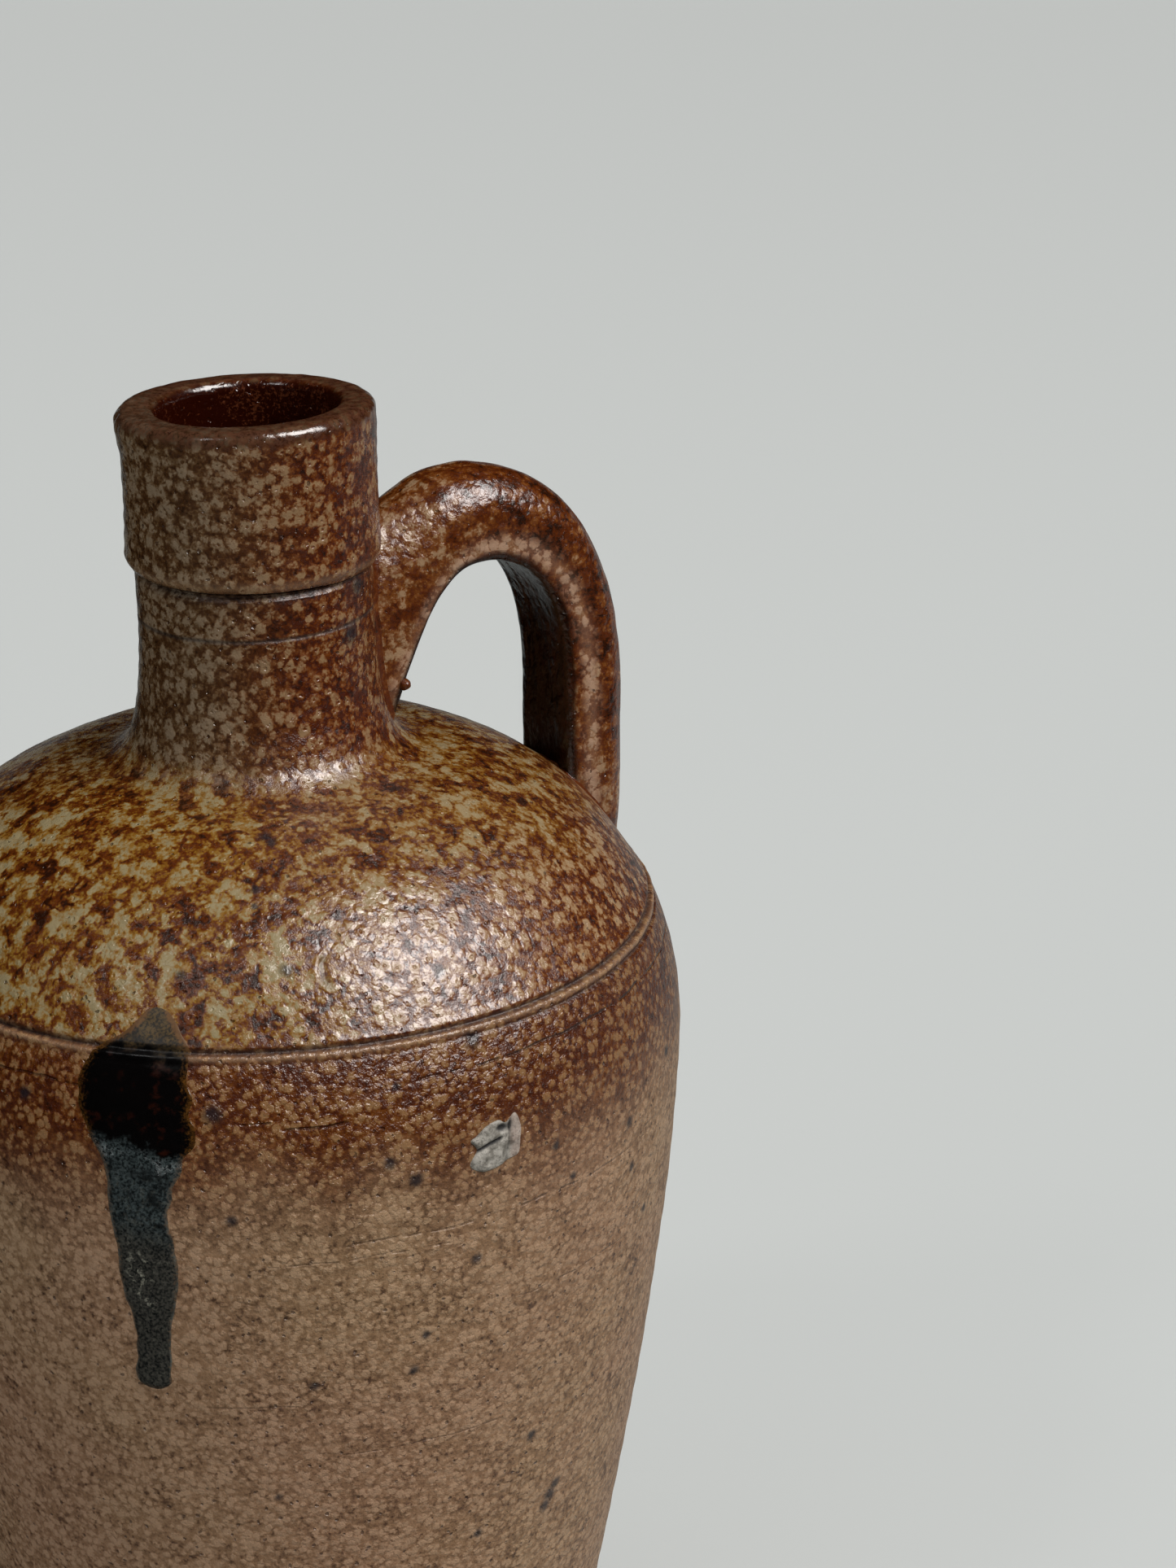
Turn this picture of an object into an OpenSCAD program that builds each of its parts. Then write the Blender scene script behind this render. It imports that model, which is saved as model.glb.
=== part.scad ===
// Salt-glazed stoneware sake bottle with one finger-loop handle.
// Millimetres. The axis of the bottle is Z, it stands on Z = 0, and the handle points along +X.
// The fired bottle is one ceramic body. It is divided here where the potter's own lines divide it.

/* [Body] */
// Height from the table to the top of the lip
total_height = 250; // [220:1:300]
// Widest diameter of the body
belly_diameter = 134.8; // [120:0.2:150]
// Height at which the body is widest
belly_height = 143; // [120:1:155]
// Diameter of the standing ring
foot_diameter = 88; // [70:1:100]
// Thickness of the thrown wall
wall = 6; // [4:0.1:9]
// Thickness of the floor
floor_thickness = 7; // [5:0.5:10]
// Depth of the hollow turned under the foot
foot_hollow = 2; // [1:0.5:4]
// Width of the ring that the bottle stands on
foot_ring = 7; // [4:0.5:12]

/* [Shoulder] */
// Height of the incised line between body and shoulder
line_height = 167; // [160:1:175]
// Diameter of the bottle at the incised line
line_diameter = 124.8; // [110:0.2:130]
// Rise from the incised line to the top of the dome
dome_rise = 25; // [18:0.5:32]
// Depth of the incised lines
line_depth = 0.5; // [0.2:0.1:1]

/* [Neck and mouth] */
// Diameter of the straight part of the neck
neck_diameter = 37.8; // [32:0.2:44]
// Spread of the neck's foot where it runs out on the dome
neck_spread = 8.6; // [4:0.2:12]
// Diameter of the collar under the lip
collar_diameter = 40.4; // [36:0.2:48]
// Height of the collar, lip included
collar_height = 26.4; // [18:0.2:34]
// Diameter of the mouth, straight down to the dome
mouth_diameter = 28.2; // [22:0.2:32]
// Height of the fine line cut below the collar, measured from the collar
neck_line_drop = 7.4; // [5:0.1:12]

/* [Handle] */
// Width of the strap
strap_width = 17.4; // [12:0.1:22]
// Thickness of the strap beside the finger loop
strap_thickness = 13.2; // [8:0.1:16]
// Distance from the axis to the strap's inner face
loop_reach = 52.2; // [50:0.1:58]
// Height of the top of the finger loop
loop_top = 218.9; // [214:0.1:226]
// Thickness of the luting clay between strap and bottle
luting = 0.8; // [0.4:0.1:1.5]
// Width of luting clay that shows round the strap
luting_rim = 1; // [0.5:0.1:2]

/* [Fired-on marks] */
// Thickness of the dark glaze run
run_thickness = 0.6; // [0.3:0.1:1.2]
// Direction of the dark glaze run, round the bottle from the handle
run_azimuth = -132.5; // [-180:0.5:180]
// Thickness of the grey flake of kiln dirt
flake_thickness = 0.7; // [0.3:0.1:1.2]
// Direction of the grey flake, round the bottle from the handle
flake_azimuth = -86; // [-180:0.5:180]
// Height of the middle of the grey flake
flake_height = 148.4; // [140:0.2:160]

/* [Hidden] */
$fn = 96;
belly_r = belly_diameter / 2;
foot_r = foot_diameter / 2;
line_r = line_diameter / 2;
neck_r = neck_diameter / 2;
collar_r = collar_diameter / 2;
mouth_r = mouth_diameter / 2;
dome_top = line_height + dome_rise;
collar_base = total_height - collar_height;
// Half width of an incised line
cut_half = 0.5;
// How strongly the wall draws in below and above the belly
lower_sweep = 1.42;
upper_sweep = 2.4;
lip_round = 2;
foot_round = 1.2;
// Bottom edge of the collar: it slopes in to the neck over this height
collar_slope = 1.8;

// Dome from the incised line to the neck: [fraction of the belly radius, fraction of the rise]
dome_shape = [[line_r / belly_r, 0], [0.852, 0.30], [0.783, 0.51], [0.702, 0.69],
              [0.610, 0.83], [0.515, 0.94], [(neck_r + neck_spread) / belly_r, 1]];
// Neck foot: [fraction of the spread, height above the dome]
neck_foot_shape = [[1, 0], [0.63, 1], [0.34, 3.3], [0.20, 6.5], [0.10, 10.3], [0.04, 15], [0, 20]];
// Strap, from the root on the neck to the end on the shoulder:
// [inner face from the loop's outer top corner in X and Z, extra thickness, tilt of the thickness]
strap_stations = [[-34.6, -30.7, 25.4, 93], [-30.1, -19, 16.9, 87], [-27.5, -12.9, 12.6, 84], [-24.2, -6.4, 7.8, 81],
                  [-19.7, -1.4, 3.5, 78], [-14.1, 0, 1.8, 80], [-8.4, -1.7, 1.3, 66], [-3.9, -5.9, 0.1, 29],
                  [-1, -13.3, 0, 16], [0, -22.9, 0, 2], [0, -32.3, 0, -3], [0, -40.3, 0, -5],
                  [-0.8, -48.3, 0.6, -12], [-3.3, -55.3, 1.8, -16]];
strap_steps = 4;
strap_sides = 28;
// Roundness of the strap's outer and inner face: 2 is an ellipse, more is squarer
outer_power = 2.3;
inner_power = 8;

// Outline of the run as seen from the front: [height, offset of its middle, half width]
run_shape = [[173.6, 0.5, 0.6], [172, 0.6, 2.2], [169, 0.4, 5], [166, -1.3, 7.7], [162, -2.1, 9.1],
             [158, -1.4, 8.6], [154, -0.6, 7.7], [149.5, -0.5, 5.9], [144, -1, 4.6], [133, -0.5, 4.7],
             [121, -0.6, 3], [112.5, -1.2, 2.7], [111, -1, 1.5]];
// Outline of the flake round its middle
flake_shape = [[-4, -2.6], [-2.2, -4.2], [1.4, -3.4], [3.4, -2.4], [4.1, 1.2], [2.9, 4.2], [-0.6, 3.4], [-3.6, 1.6]];

// A smooth curve through four points, between the middle two
function curve(p0, p1, p2, p3, t) =
    0.5 * (2 * p1 + (p2 - p0) * t + (2 * p0 - 5 * p1 + 4 * p2 - p3) * t * t
           + (3 * p1 - p0 - 3 * p2 + p3) * t * t * t);
// The point at position s (in stations) on the smooth curve through a list of stations
function at(stations, s) =
    let (last = len(stations) - 1, i = min(floor(s), last - 1))
    curve(stations[max(i - 1, 0)], stations[i], stations[i + 1], stations[min(i + 2, last)], s - i);
function smooth(stations, steps) =
    [for (k = [0 : steps * (len(stations) - 1)]) at(stations, k / steps)];

// Outer radius of the body at a height
function body_radius(z) =
    z < belly_height
    ? belly_r - (belly_r - foot_r) * pow((belly_height - z) / belly_height, lower_sweep)
    : belly_r - (belly_r - line_r) * pow((z - belly_height) / (line_height - belly_height), upper_sweep);

dome_stations = [for (p = dome_shape) [p[0] * belly_r, line_height + p[1] * dome_rise]];
neck_stations = [for (p = neck_foot_shape) [neck_r + p[0] * neck_spread, dome_top + p[1]]];

body_heights = [for (k = [1 : 12]) k * belly_height / 12];
turn_heights = [for (k = [1 : 7]) belly_height + k * (line_height - belly_height - cut_half) / 7];

// Outer outline of the body, from the standing ring to the bottom of the incised line
body_outline = concat(
    [[body_radius(0) - foot_round, 0], [body_radius(foot_round), foot_round]],
    [for (z = concat(body_heights, turn_heights)) [body_radius(z), z]],
    [[line_r - line_depth, line_height]]);

// Outer outline of the dome, with the second incised line above the first
second_line = 0.2;
dome_outline = concat(
    [at(dome_stations, 0.06), at(dome_stations, second_line - 0.06),
     at(dome_stations, second_line) - [line_depth, line_depth], at(dome_stations, second_line + 0.06)],
    [for (k = [2 : 6 * 4]) at(dome_stations, k / 4)]);

// Outer outline of the neck, with its fine line and the undercut below the collar
neck_line = collar_base - neck_line_drop;
neck_outline = concat(
    smooth(neck_stations, 3),
    [[neck_r, neck_line - cut_half], [neck_r - line_depth / 2, neck_line], [neck_r, neck_line + cut_half],
     [neck_r, collar_base - 2 * cut_half], [neck_r - line_depth, collar_base]]);

// Outer outline of the collar up to the lip
collar_outline = [[collar_r - 0.4, collar_base + collar_slope * 0.6], [collar_r, collar_base + collar_slope],
                  [collar_r - 0.2, collar_base + collar_height * 0.3],
                  [collar_r, total_height - lip_round]];

function lip_arc(centre_r, from, to) =
    [for (a = [from : (to - from) / 6 : to])
        [centre_r + lip_round * cos(a), total_height - lip_round + lip_round * sin(a)]];

// The bottle's whole outer outline from foot to lip
bottle_outline = concat(body_outline, dome_outline, neck_outline, collar_outline);

function unit(v) = v / norm(v);
// An outline moved outwards along its own normal
function grown(outline, amount) =
    [for (i = [0 : len(outline) - 1])
        let (step = unit(outline[min(i + 1, len(outline) - 1)] - outline[max(i - 1, 0)]))
        outline[i] + amount * [step[1], -step[0]]];

// The bottle filled solid, grown by a skin of the given thickness
module filled_bottle(skin = 0) {
    outline = skin > 0 ? grown(bottle_outline, skin) : bottle_outline;
    rotate_extrude()
        polygon(concat([[0, 0]], outline, [[0, total_height - lip_round]]));
}

// A skin of clay or glaze that lies on the bottle
module skin(thickness) {
    difference() {
        filled_bottle(thickness);
        filled_bottle();
    }
}

// Body: floor, standing ring and wall up to the incised line
module body() {
    inner_heights = concat([for (k = [1 : 12]) k * belly_height / 12], turn_heights);
    inner = [for (z = inner_heights) if (z > floor_thickness + foot_hollow + 4) [body_radius(z) - wall, z]];
    floor_z = foot_hollow + floor_thickness;
    color([0.62, 0.42, 0.33])
        rotate_extrude()
            polygon(concat(
                [[0, foot_hollow], [foot_r - foot_ring - foot_hollow, foot_hollow], [foot_r - foot_ring, 0]],
                body_outline,
                [[line_r - wall, line_height]],
                [for (k = [len(inner) - 1 : -1 : 0]) inner[k]],
                [[body_radius(floor_z) - wall - 4, floor_z], [0, floor_z]]));
}

// Shoulder: the dome, its inner wall curving up into the mouth
module shoulder() {
    inner_root_r = neck_r + neck_spread;
    root_curve = [for (a = [0 : 15 : 90])
        [mouth_r + (inner_root_r - mouth_r) * (1 - cos(a)), dome_top - wall * sin(a)]];
    inner_dome = [for (k = [5 : -1 : 0])
        dome_stations[k] - wall * [cos(15 * k), sin(15 * k)]];
    color([0.55, 0.33, 0.18])
        rotate_extrude()
            polygon(concat([[line_r - line_depth, line_height]], dome_outline, root_curve, inner_dome));
}

// Neck with the mouth running straight through it
module neck() {
    color([0.52, 0.34, 0.22])
        rotate_extrude()
            polygon(concat([[mouth_r, dome_top]], neck_outline, [[mouth_r, collar_base]]));
}

// Collar and rounded lip
module collar() {
    color([0.50, 0.30, 0.20])
        rotate_extrude()
            polygon(concat(
                [[mouth_r, collar_base], [neck_r - line_depth, collar_base]],
                collar_outline,
                lip_arc(collar_r - lip_round, 15, 90),
                lip_arc(mouth_r + lip_round, 90, 180)));
}

// One ring of the strap: width along Y, thickness from the inner face outwards
function strap_ring(station, rim) =
    let (w = strap_width / 2 + rim,
         t = (strap_thickness + station[2]) / 2 + rim,
         dir = [cos(station[3]), sin(station[3])],
         middle = [loop_reach + station[0], loop_top + station[1]] + (t - rim) * dir)
    [for (k = [0 : strap_sides - 1])
        let (a = 360 * k / strap_sides,
             power = 2 / (sin(a) >= 0 ? outer_power : inner_power),
             u = w * sign(cos(a)) * pow(abs(cos(a)), power),
             v = t * sign(sin(a)) * pow(abs(sin(a)), power))
        [middle[0] + v * dir[0], u, middle[1] + v * dir[1]]];

// The strap swept along its stations, both ends buried in the bottle
module strap(rim = 0) {
    rings = [for (s = smooth(strap_stations, strap_steps)) strap_ring(s, rim)];
    n = strap_sides;
    last = len(rings) - 1;
    points = [for (ring = rings, p = ring) p];
    sides = [for (i = [0 : last - 1], k = [0 : n - 1])
        [i * n + k, i * n + (k + 1) % n, (i + 1) * n + (k + 1) % n, (i + 1) * n + k]];
    polyhedron(points, concat([[for (k = [n - 1 : -1 : 0]) k]], sides, [[for (k = [0 : n - 1]) last * n + k]]));
}

// The space on the neck's side of the finger loop
module neck_side() {
    middle = (neck_r + loop_reach) / 2;
    translate([middle - total_height, -total_height / 2, 0])
        cube(total_height);
}

// Handle: the pulled strap, cut to sit on its luting clay
module handle() {
    color([0.50, 0.29, 0.16])
        difference() {
            strap();
            filled_bottle(luting);
        }
}

// Luting clay between the strap's root and the neck
module upper_luting() {
    color([0.42, 0.25, 0.15])
        intersection() {
            skin(luting);
            strap(luting_rim);
            neck_side();
        }
}

// Luting clay between the strap's end and the shoulder
module lower_luting() {
    color([0.42, 0.25, 0.15])
        difference() {
            intersection() {
                skin(luting);
                strap(luting_rim);
            }
            neck_side();
        }
}

// A plate in the (Y, Z) plane pushed out through the wall in one direction round the bottle
module stamp(azimuth, outline) {
    rotate([0, 0, azimuth])
        translate([belly_r / 2, 0, 0])
            rotate([90, 0, 90])
                linear_extrude(belly_r)
                    polygon(outline);
}

// Dark glaze that ran down over the shoulder line
module glaze_run() {
    color([0.10, 0.12, 0.14])
        intersection() {
            skin(run_thickness);
            stamp(run_azimuth, concat(
                [for (p = run_shape) [p[1] + p[2], p[0]]],
                [for (k = [len(run_shape) - 1 : -1 : 0]) [run_shape[k][1] - run_shape[k][2], run_shape[k][0]]]));
        }
}

// Grey flake of kiln dirt fired on to the body
module kiln_flake() {
    color([0.55, 0.55, 0.54])
        intersection() {
            skin(flake_thickness);
            stamp(flake_azimuth, [for (p = flake_shape) p + [0, flake_height]]);
        }
}

// Bead of clay squeezed out at the lower end of the root, on the strap's left side
module slip_bead() {
    bead_r = 1.3;
    side = -strap_width / 2;
    color([0.30, 0.18, 0.12])
        difference() {
            translate([neck_r + 3.2, side, dome_top + 9.4])
                sphere(bead_r);
            translate([neck_r, side, dome_top])
                cube(strap_width);
        }
}

body();
shoulder();
neck();
collar();
handle();
upper_luting();
lower_luting();
slip_bead();
glaze_run();
kiln_flake();
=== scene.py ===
"""Salt-glazed stoneware sake bottle with a finger-loop handle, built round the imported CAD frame."""
import math
from types import SimpleNamespace

import bpy
import numpy as np
from mathutils import Matrix, Vector


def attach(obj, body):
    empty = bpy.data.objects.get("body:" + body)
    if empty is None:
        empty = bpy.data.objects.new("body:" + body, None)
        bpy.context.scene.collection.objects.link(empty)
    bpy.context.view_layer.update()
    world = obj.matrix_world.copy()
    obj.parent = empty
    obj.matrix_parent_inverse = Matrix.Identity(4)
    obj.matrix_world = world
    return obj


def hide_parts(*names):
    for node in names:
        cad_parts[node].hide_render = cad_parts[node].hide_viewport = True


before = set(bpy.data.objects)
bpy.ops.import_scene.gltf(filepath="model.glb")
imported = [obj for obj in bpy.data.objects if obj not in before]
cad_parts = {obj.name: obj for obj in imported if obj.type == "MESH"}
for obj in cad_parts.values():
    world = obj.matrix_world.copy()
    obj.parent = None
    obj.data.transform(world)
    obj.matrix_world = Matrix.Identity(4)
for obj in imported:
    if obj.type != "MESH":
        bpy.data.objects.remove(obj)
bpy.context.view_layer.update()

MM = 0.001
rng = np.random.default_rng(11)

# ==== Sizes of the bottle, in millimetres, as in the CAD ====
TOTAL_HEIGHT = 250.0
BELLY_R, BELLY_Z = 67.4, 143.0
FOOT_R, FOOT_ROUND, FOOT_HOLLOW, FOOT_RING = 44.0, 1.2, 2.0, 7.0
LINE_R, LINE_Z = 62.4, 167.0
DOME_RISE = 25.0
NECK_R, NECK_SPREAD = 18.9, 8.6
COLLAR_R, COLLAR_HEIGHT = 20.2, 26.4
MOUTH_R = 14.1
WALL = 6.0
FLOOR = 7.0
LIP_OUTER, LIP_INNER = 2.1, 1.9
DOME_TOP = LINE_Z + DOME_RISE
COLLAR_BASE = TOTAL_HEIGHT - COLLAR_HEIGHT
NECK_LINE = COLLAR_BASE - 7.4
LOOP_REACH, LOOP_TOP = 52.2, 218.9
STRAP_WIDTH, STRAP_THICKNESS = 17.4, 13.2
RUN_AZIMUTH, FLAKE_AZIMUTH, FLAKE_Z = -132.5, -86.0, 148.4

DOME_SHAPE = [(LINE_R / BELLY_R, 0), (0.852, 0.30), (0.783, 0.51), (0.702, 0.69),
              (0.610, 0.83), (0.515, 0.94), ((NECK_R + NECK_SPREAD) / BELLY_R, 1)]
NECK_FOOT_SHAPE = [(1, 0), (0.63, 1), (0.34, 3.3), (0.20, 6.5), (0.10, 10.3), (0.04, 15), (0, 20)]
# Strap: inner face from the loop's outer top corner in X and Z, extra thickness, tilt in degrees
STRAP_STATIONS = [(-34.6, -30.7, 25.4, 93), (-30.1, -19, 16.9, 87), (-27.5, -12.9, 12.6, 84),
                  (-24.2, -6.4, 7.8, 81), (-19.7, -1.4, 3.5, 78), (-14.1, 0, 1.8, 80),
                  (-8.4, -1.7, 1.3, 66), (-3.9, -5.9, 0.1, 29), (-1, -13.3, 0, 16),
                  (0, -22.9, 0, 2), (0, -32.3, 0, -3), (0, -40.3, 0, -5),
                  (-0.8, -48.3, 0.6, -12), (-3.3, -55.3, 1.8, -16)]
# Outline of the dark run: height, offset of its middle, half width
RUN_SHAPE = [(173.6, 0.5, 0.6), (172, 0.6, 2.2), (169, 0.4, 5), (166, -1.3, 7.7), (162, -2.1, 9.1),
             (158, -1.4, 8.6), (154, -0.6, 7.7), (149.5, -0.5, 5.9), (144, -1, 4.6), (133, -0.5, 4.7),
             (121, -0.6, 3), (112.5, -1.2, 2.7), (111, -1, 1.5)]

# Thickness of the run by height: a rib below the line, a full roll at it, a thin film above it
RUN_THICKNESS = [(110, 0.55), (112, 0.62), (116, 0.42), (140, 0.40), (149, 0.45), (152.5, 0.66),
                 (156, 0.60), (164, 0.50), (169, 0.22), (173.6, 0.10)]
# Outline of the flake round its middle
FLAKE_SHAPE = [(-4.2, -2.4), (-2.6, -3.9), (-0.4, -3.9), (1.5, -3.2), (3.3, -2.6), (3.6, -0.4), (3.9, 1.8),
               (3.1, 4.0), (1.6, 2.9), (0.4, 3.6), (-1.6, 3.1), (-3.0, 2.0), (-3.9, 1.4), (-3.1, -0.2)]
FLAKE_STRETCH = 1.16
# Radius of the bead of clay, and how deep the strap and the marks are sunk in the wall
BEAD_R = 1.1
STRAP_SUNK, MARK_SUNK = 1.6, 0.7
# Pitch of the throwing rings, and the side where the lip is lowest
BODY_RING, NECK_RING = 6.5, 3.1
LIP_LOW_AZIMUTH = 152.0
# Iron spots: azimuth, height, radius
IRON_SPOTS = [(-64.4, 214.9, 2.0), (-57.3, 222.0, 2.0), (-87.5, 164.7, 1.6), (-101.1, 149.2, 1.2),
              (-97.7, 145.8, 1.4), (-121.5, 142.1, 1.1), (-70.4, 78.6, 1.3), (-71.4, 76.9, 1.6),
              (-72.2, 75.1, 1.4), (-123.4, 158.6, 1.7), (-76.5, 144.5, 1.0), (-60.5, 141.0, 1.1),
              (-47.0, 146.5, 1.2), (-129, 176.5, 1.1), (-112.7, 177.0, 1.2), (-89.4, 174.2, 1.2),
              (-115.4, 190.5, 1.3), (-113.8, 190.1, 1.1), (-117.5, 185.8, 0.8), (-117.5, 184.2, 0.8),
              (-150.0, 158.5, 1.2), (-89.1, 129.5, 1.1), (-96.3, 118.2, 0.9), (-98.0, 112.1, 1.0),
              (-77.3, 91.5, 1.2), (-86.1, 76.0, 1.1), (-111.8, 111.8, 0.9), (-117.5, 90.9, 0.8),
              (-73.0, 137.7, 0.9), (-59.1, 132.5, 1.0), (-53.2, 121.6, 1.0), (-99.4, 160.5, 0.8)]
# Lines scored round the body: height, rise per degree, half width, middle azimuth, half length
SCORED_LINES = [(156.3, 0.03, 0.32, -110.4, 4.6), (157.2, 0.0, 0.22, -118, 2.2), (136.4, 0.0, 0.30, -84, 30),
                (133.9, 0.0, 0.26, -104, 16), (161.0, 0.0, 0.30, -62, 40), (161.4, 0.0, 0.28, -152, 22),
                (108.2, 0.0, 0.30, -120, 8), (120.0, 0.0, 0.25, -66, 18), (98.0, 0.0, 0.25, -96, 14),
                (127.2, -0.35, 0.34, -119.4, 1.9), (124.6, -1.3, 0.34, -121.0, 0.8)]
# Iron spots that stand up as small craters: azimuth, height, radius, relief
RAISED_SPOTS = [(-64.4, 214.9, 1.7, 0.18), (-57.3, 222.0, 1.3, 0.15), (-87.5, 164.7, 1.5, 0.2),
                (-123.4, 158.6, 1.7, 0.25), (-101.1, 149.2, 0.8, 0.1), (-97.7, 145.8, 1.0, 0.12),
                (-121.5, 142.1, 0.8, 0.1), (-105, 190.6, 1.0, 0.12), (-129, 176.5, 1.1, 0.2),
                (169.7, 241.9, 0.9, 0.1)]

# Columns of the bottle's mesh, rows and sides of the strap's
COLUMNS = 560
STRAP_ROWS, STRAP_SIDES = 210, 132


# ==== Small numeric helpers ====
def catmull_rom(stations, s):
    """Points at positions s (in stations) on the smooth curve through the stations."""
    p = np.asarray(stations, float)
    last = len(p) - 1
    i = np.minimum(np.floor(s).astype(int), last - 1)
    t = (s - i)[:, None]
    p0, p1 = p[np.maximum(i - 1, 0)], p[i]
    p2, p3 = p[i + 1], p[np.minimum(i + 2, last)]
    return 0.5 * (2 * p1 + (p2 - p0) * t + (2 * p0 - 5 * p1 + 4 * p2 - p3) * t ** 2
                  + (3 * p1 - p0 - 3 * p2 + p3) * t ** 3)


def smoothstep(low, high, x):
    t = np.clip((x - low) / (high - low), 0, 1)
    return t * t * (3 - 2 * t)


def bell(x, width):
    return np.exp(-(x / width) ** 2)


def unit(vectors):
    return vectors / np.linalg.norm(vectors, axis=-1, keepdims=True)


def turn(azimuth, centre):
    """Signed difference of two azimuths in degrees, between -180 and 180."""
    return (azimuth - centre + 180) % 360 - 180


LATTICE_SIZE = 64
LATTICE = rng.random((LATTICE_SIZE, LATTICE_SIZE, LATTICE_SIZE))


def noise(p, size):
    """Smooth value noise between -1 and 1 at points p, with features of the given size."""
    q = p / size
    cell = np.floor(q).astype(int)
    f = q - cell
    f = f * f * (3 - 2 * f)
    value = 0
    for corner in np.ndindex(2, 2, 2):
        weight = np.where(corner, f, 1 - f).prod(-1)
        i, j, k = np.moveaxis((cell + corner) % LATTICE_SIZE, -1, 0)
        value = value + weight * LATTICE[i, j, k]
    return 2 * value - 1


# ==== The outline of the bottle ====
def body_radius(z):
    below = BELLY_R - (BELLY_R - FOOT_R) * (np.maximum(BELLY_Z - z, 0) / BELLY_Z) ** 1.42
    above = BELLY_R - (BELLY_R - LINE_R) * (np.maximum(z - BELLY_Z, 0) / (LINE_Z - BELLY_Z)) ** 2.4
    return np.where(z < BELLY_Z, below, above)


def resample(path, steps):
    """The path with its rows spaced to follow steps: [(distance along it, spacing), ...]."""
    lengths = np.concatenate([[0], np.cumsum(np.linalg.norm(np.diff(path, axis=0), axis=1))])
    stops, s = [0.0], 0.0
    where, spacing = zip(*steps)
    while s < lengths[-1]:
        s += float(np.interp(s, where, spacing))
        stops.append(s)
    stops = np.array(stops) * lengths[-1] / stops[-1]
    return np.stack([np.interp(stops, lengths, path[:, k]) for k in (0, 1)], 1)


def arc_path(r, z, radius, first, last, count):
    """Points on an arc round (r, z), between two angles in degrees."""
    a = np.radians(np.linspace(first, last, count))
    return np.stack([r + radius * np.cos(a), z + radius * np.sin(a)], 1)


def body_path():
    corner_r = float(body_radius(np.array(FOOT_ROUND)))
    foot = arc_path(corner_r - FOOT_ROUND, FOOT_ROUND, FOOT_ROUND, -90, 0, 8)
    z = np.linspace(FOOT_ROUND, LINE_Z, 900)[1:]
    path = np.concatenate([foot, np.stack([body_radius(z), z], 1)])
    steps = [(0, 0.3), (3, 1.3), (130, 1.3), (150, 0.9), (166, 0.8), (168, 0.16), (175, 0.16)]
    return resample(path, steps)


def dome_path():
    stations = [(a * BELLY_R, LINE_Z + b * DOME_RISE) for a, b in DOME_SHAPE]
    path = catmull_rom(stations, np.linspace(0, len(stations) - 1, 600))
    return resample(path, [(0, 0.14), (1.6, 0.16), (3, 0.6), (60, 0.6)])


def neck_path():
    stations = [(NECK_R + a * NECK_SPREAD, DOME_TOP + b) for a, b in NECK_FOOT_SHAPE]
    path = catmull_rom(stations, np.linspace(0, len(stations) - 1, 400))
    path = np.concatenate([path, [(NECK_R, COLLAR_BASE)]])
    steps = [(0, 0.5), (24, 0.5), (26, 0.16), (29, 0.16), (30.5, 0.4), (33, 0.12), (40, 0.12)]
    return resample(path, steps)


def collar_path():
    """The collar from its undercut, over the lip and down the mouth to the collar's base."""
    stations = [(NECK_R, COLLAR_BASE), (NECK_R + 0.35, COLLAR_BASE + 0.25),
                (COLLAR_R - 0.35, COLLAR_BASE + 1.5), (COLLAR_R + 0.05, COLLAR_BASE + 2.4),
                (COLLAR_R, COLLAR_BASE + 4), (COLLAR_R - 0.15, COLLAR_BASE + 9),
                (COLLAR_R - 0.15, COLLAR_BASE + 16), (COLLAR_R, TOTAL_HEIGHT - 2.3)]
    outer = catmull_rom(stations, np.linspace(0, len(stations) - 1, 300))
    lip_out = arc_path(COLLAR_R - LIP_OUTER, TOTAL_HEIGHT - LIP_OUTER, LIP_OUTER, 0, 90, 30)
    lip_in = arc_path(MOUTH_R + LIP_INNER, TOTAL_HEIGHT - LIP_INNER, LIP_INNER, 90, 180, 30)
    path = np.concatenate([outer, lip_out, lip_in, [(MOUTH_R, COLLAR_BASE)]])
    steps = [(0, 0.12), (2.5, 0.3), (4, 0.5), (23, 0.45), (26, 0.25), (34, 0.25), (38, 0.6), (60, 0.8)]
    return resample(path, steps)


def row_normals(path):
    """Outward normals of the rows of a path that climbs the wall."""
    step = unit(np.gradient(path, axis=0))
    return np.stack([step[:, 1], -step[:, 0]], 1)


OUTER_PARTS = {"body": body_path(), "shoulder": dome_path(), "neck": neck_path(), "collar": collar_path()}


# ==== Relief of the outer surface: how far each point stands off the turned outline ====
def cut(x, half_width):
    """A V-shaped cut of depth 1 with softened edges."""
    return np.clip(1 - np.abs(x) / half_width, 0, 1) ** 0.8


class Wall:
    """Points on the turned outline, their height over it in mm, and their shares of cut and ridge."""

    def __init__(self, azimuth, r, z):
        self.azimuth, self.r, self.z = azimuth, r, z
        self.angle = np.radians(azimuth)
        self.place = np.stack([r * np.cos(self.angle), r * np.sin(self.angle), z], -1)
        self.outside = smoothstep(MOUTH_R + 0.8, MOUTH_R + 2.5, r)
        waves = 0.22 * noise(self.place, 48) + 0.08 * noise(self.place + 90, 16) - 0.18
        self.height = waves * smoothstep(0, 12, z)
        self.cut = np.zeros(z.shape)
        self.ridge = np.zeros(z.shape)

    def across(self, azimuth):
        """Distance in mm round the wall from an azimuth."""
        return np.radians(turn(self.azimuth, azimuth)) * self.r


def throwing_rings(w, pitch, strength, wobble, where):
    spiral = w.z + w.azimuth / 360 * pitch
    w.height = w.height + where * strength * np.sin(2 * math.pi * spiral / pitch + wobble)


def orange_peel(w):
    depth = 0.055 * smoothstep(110, 160, w.z) + 0.035
    w.height = w.height + depth * (0.6 * noise(w.place, 2.6) + 0.5 * noise(w.place + 41, 1.4))


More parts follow.
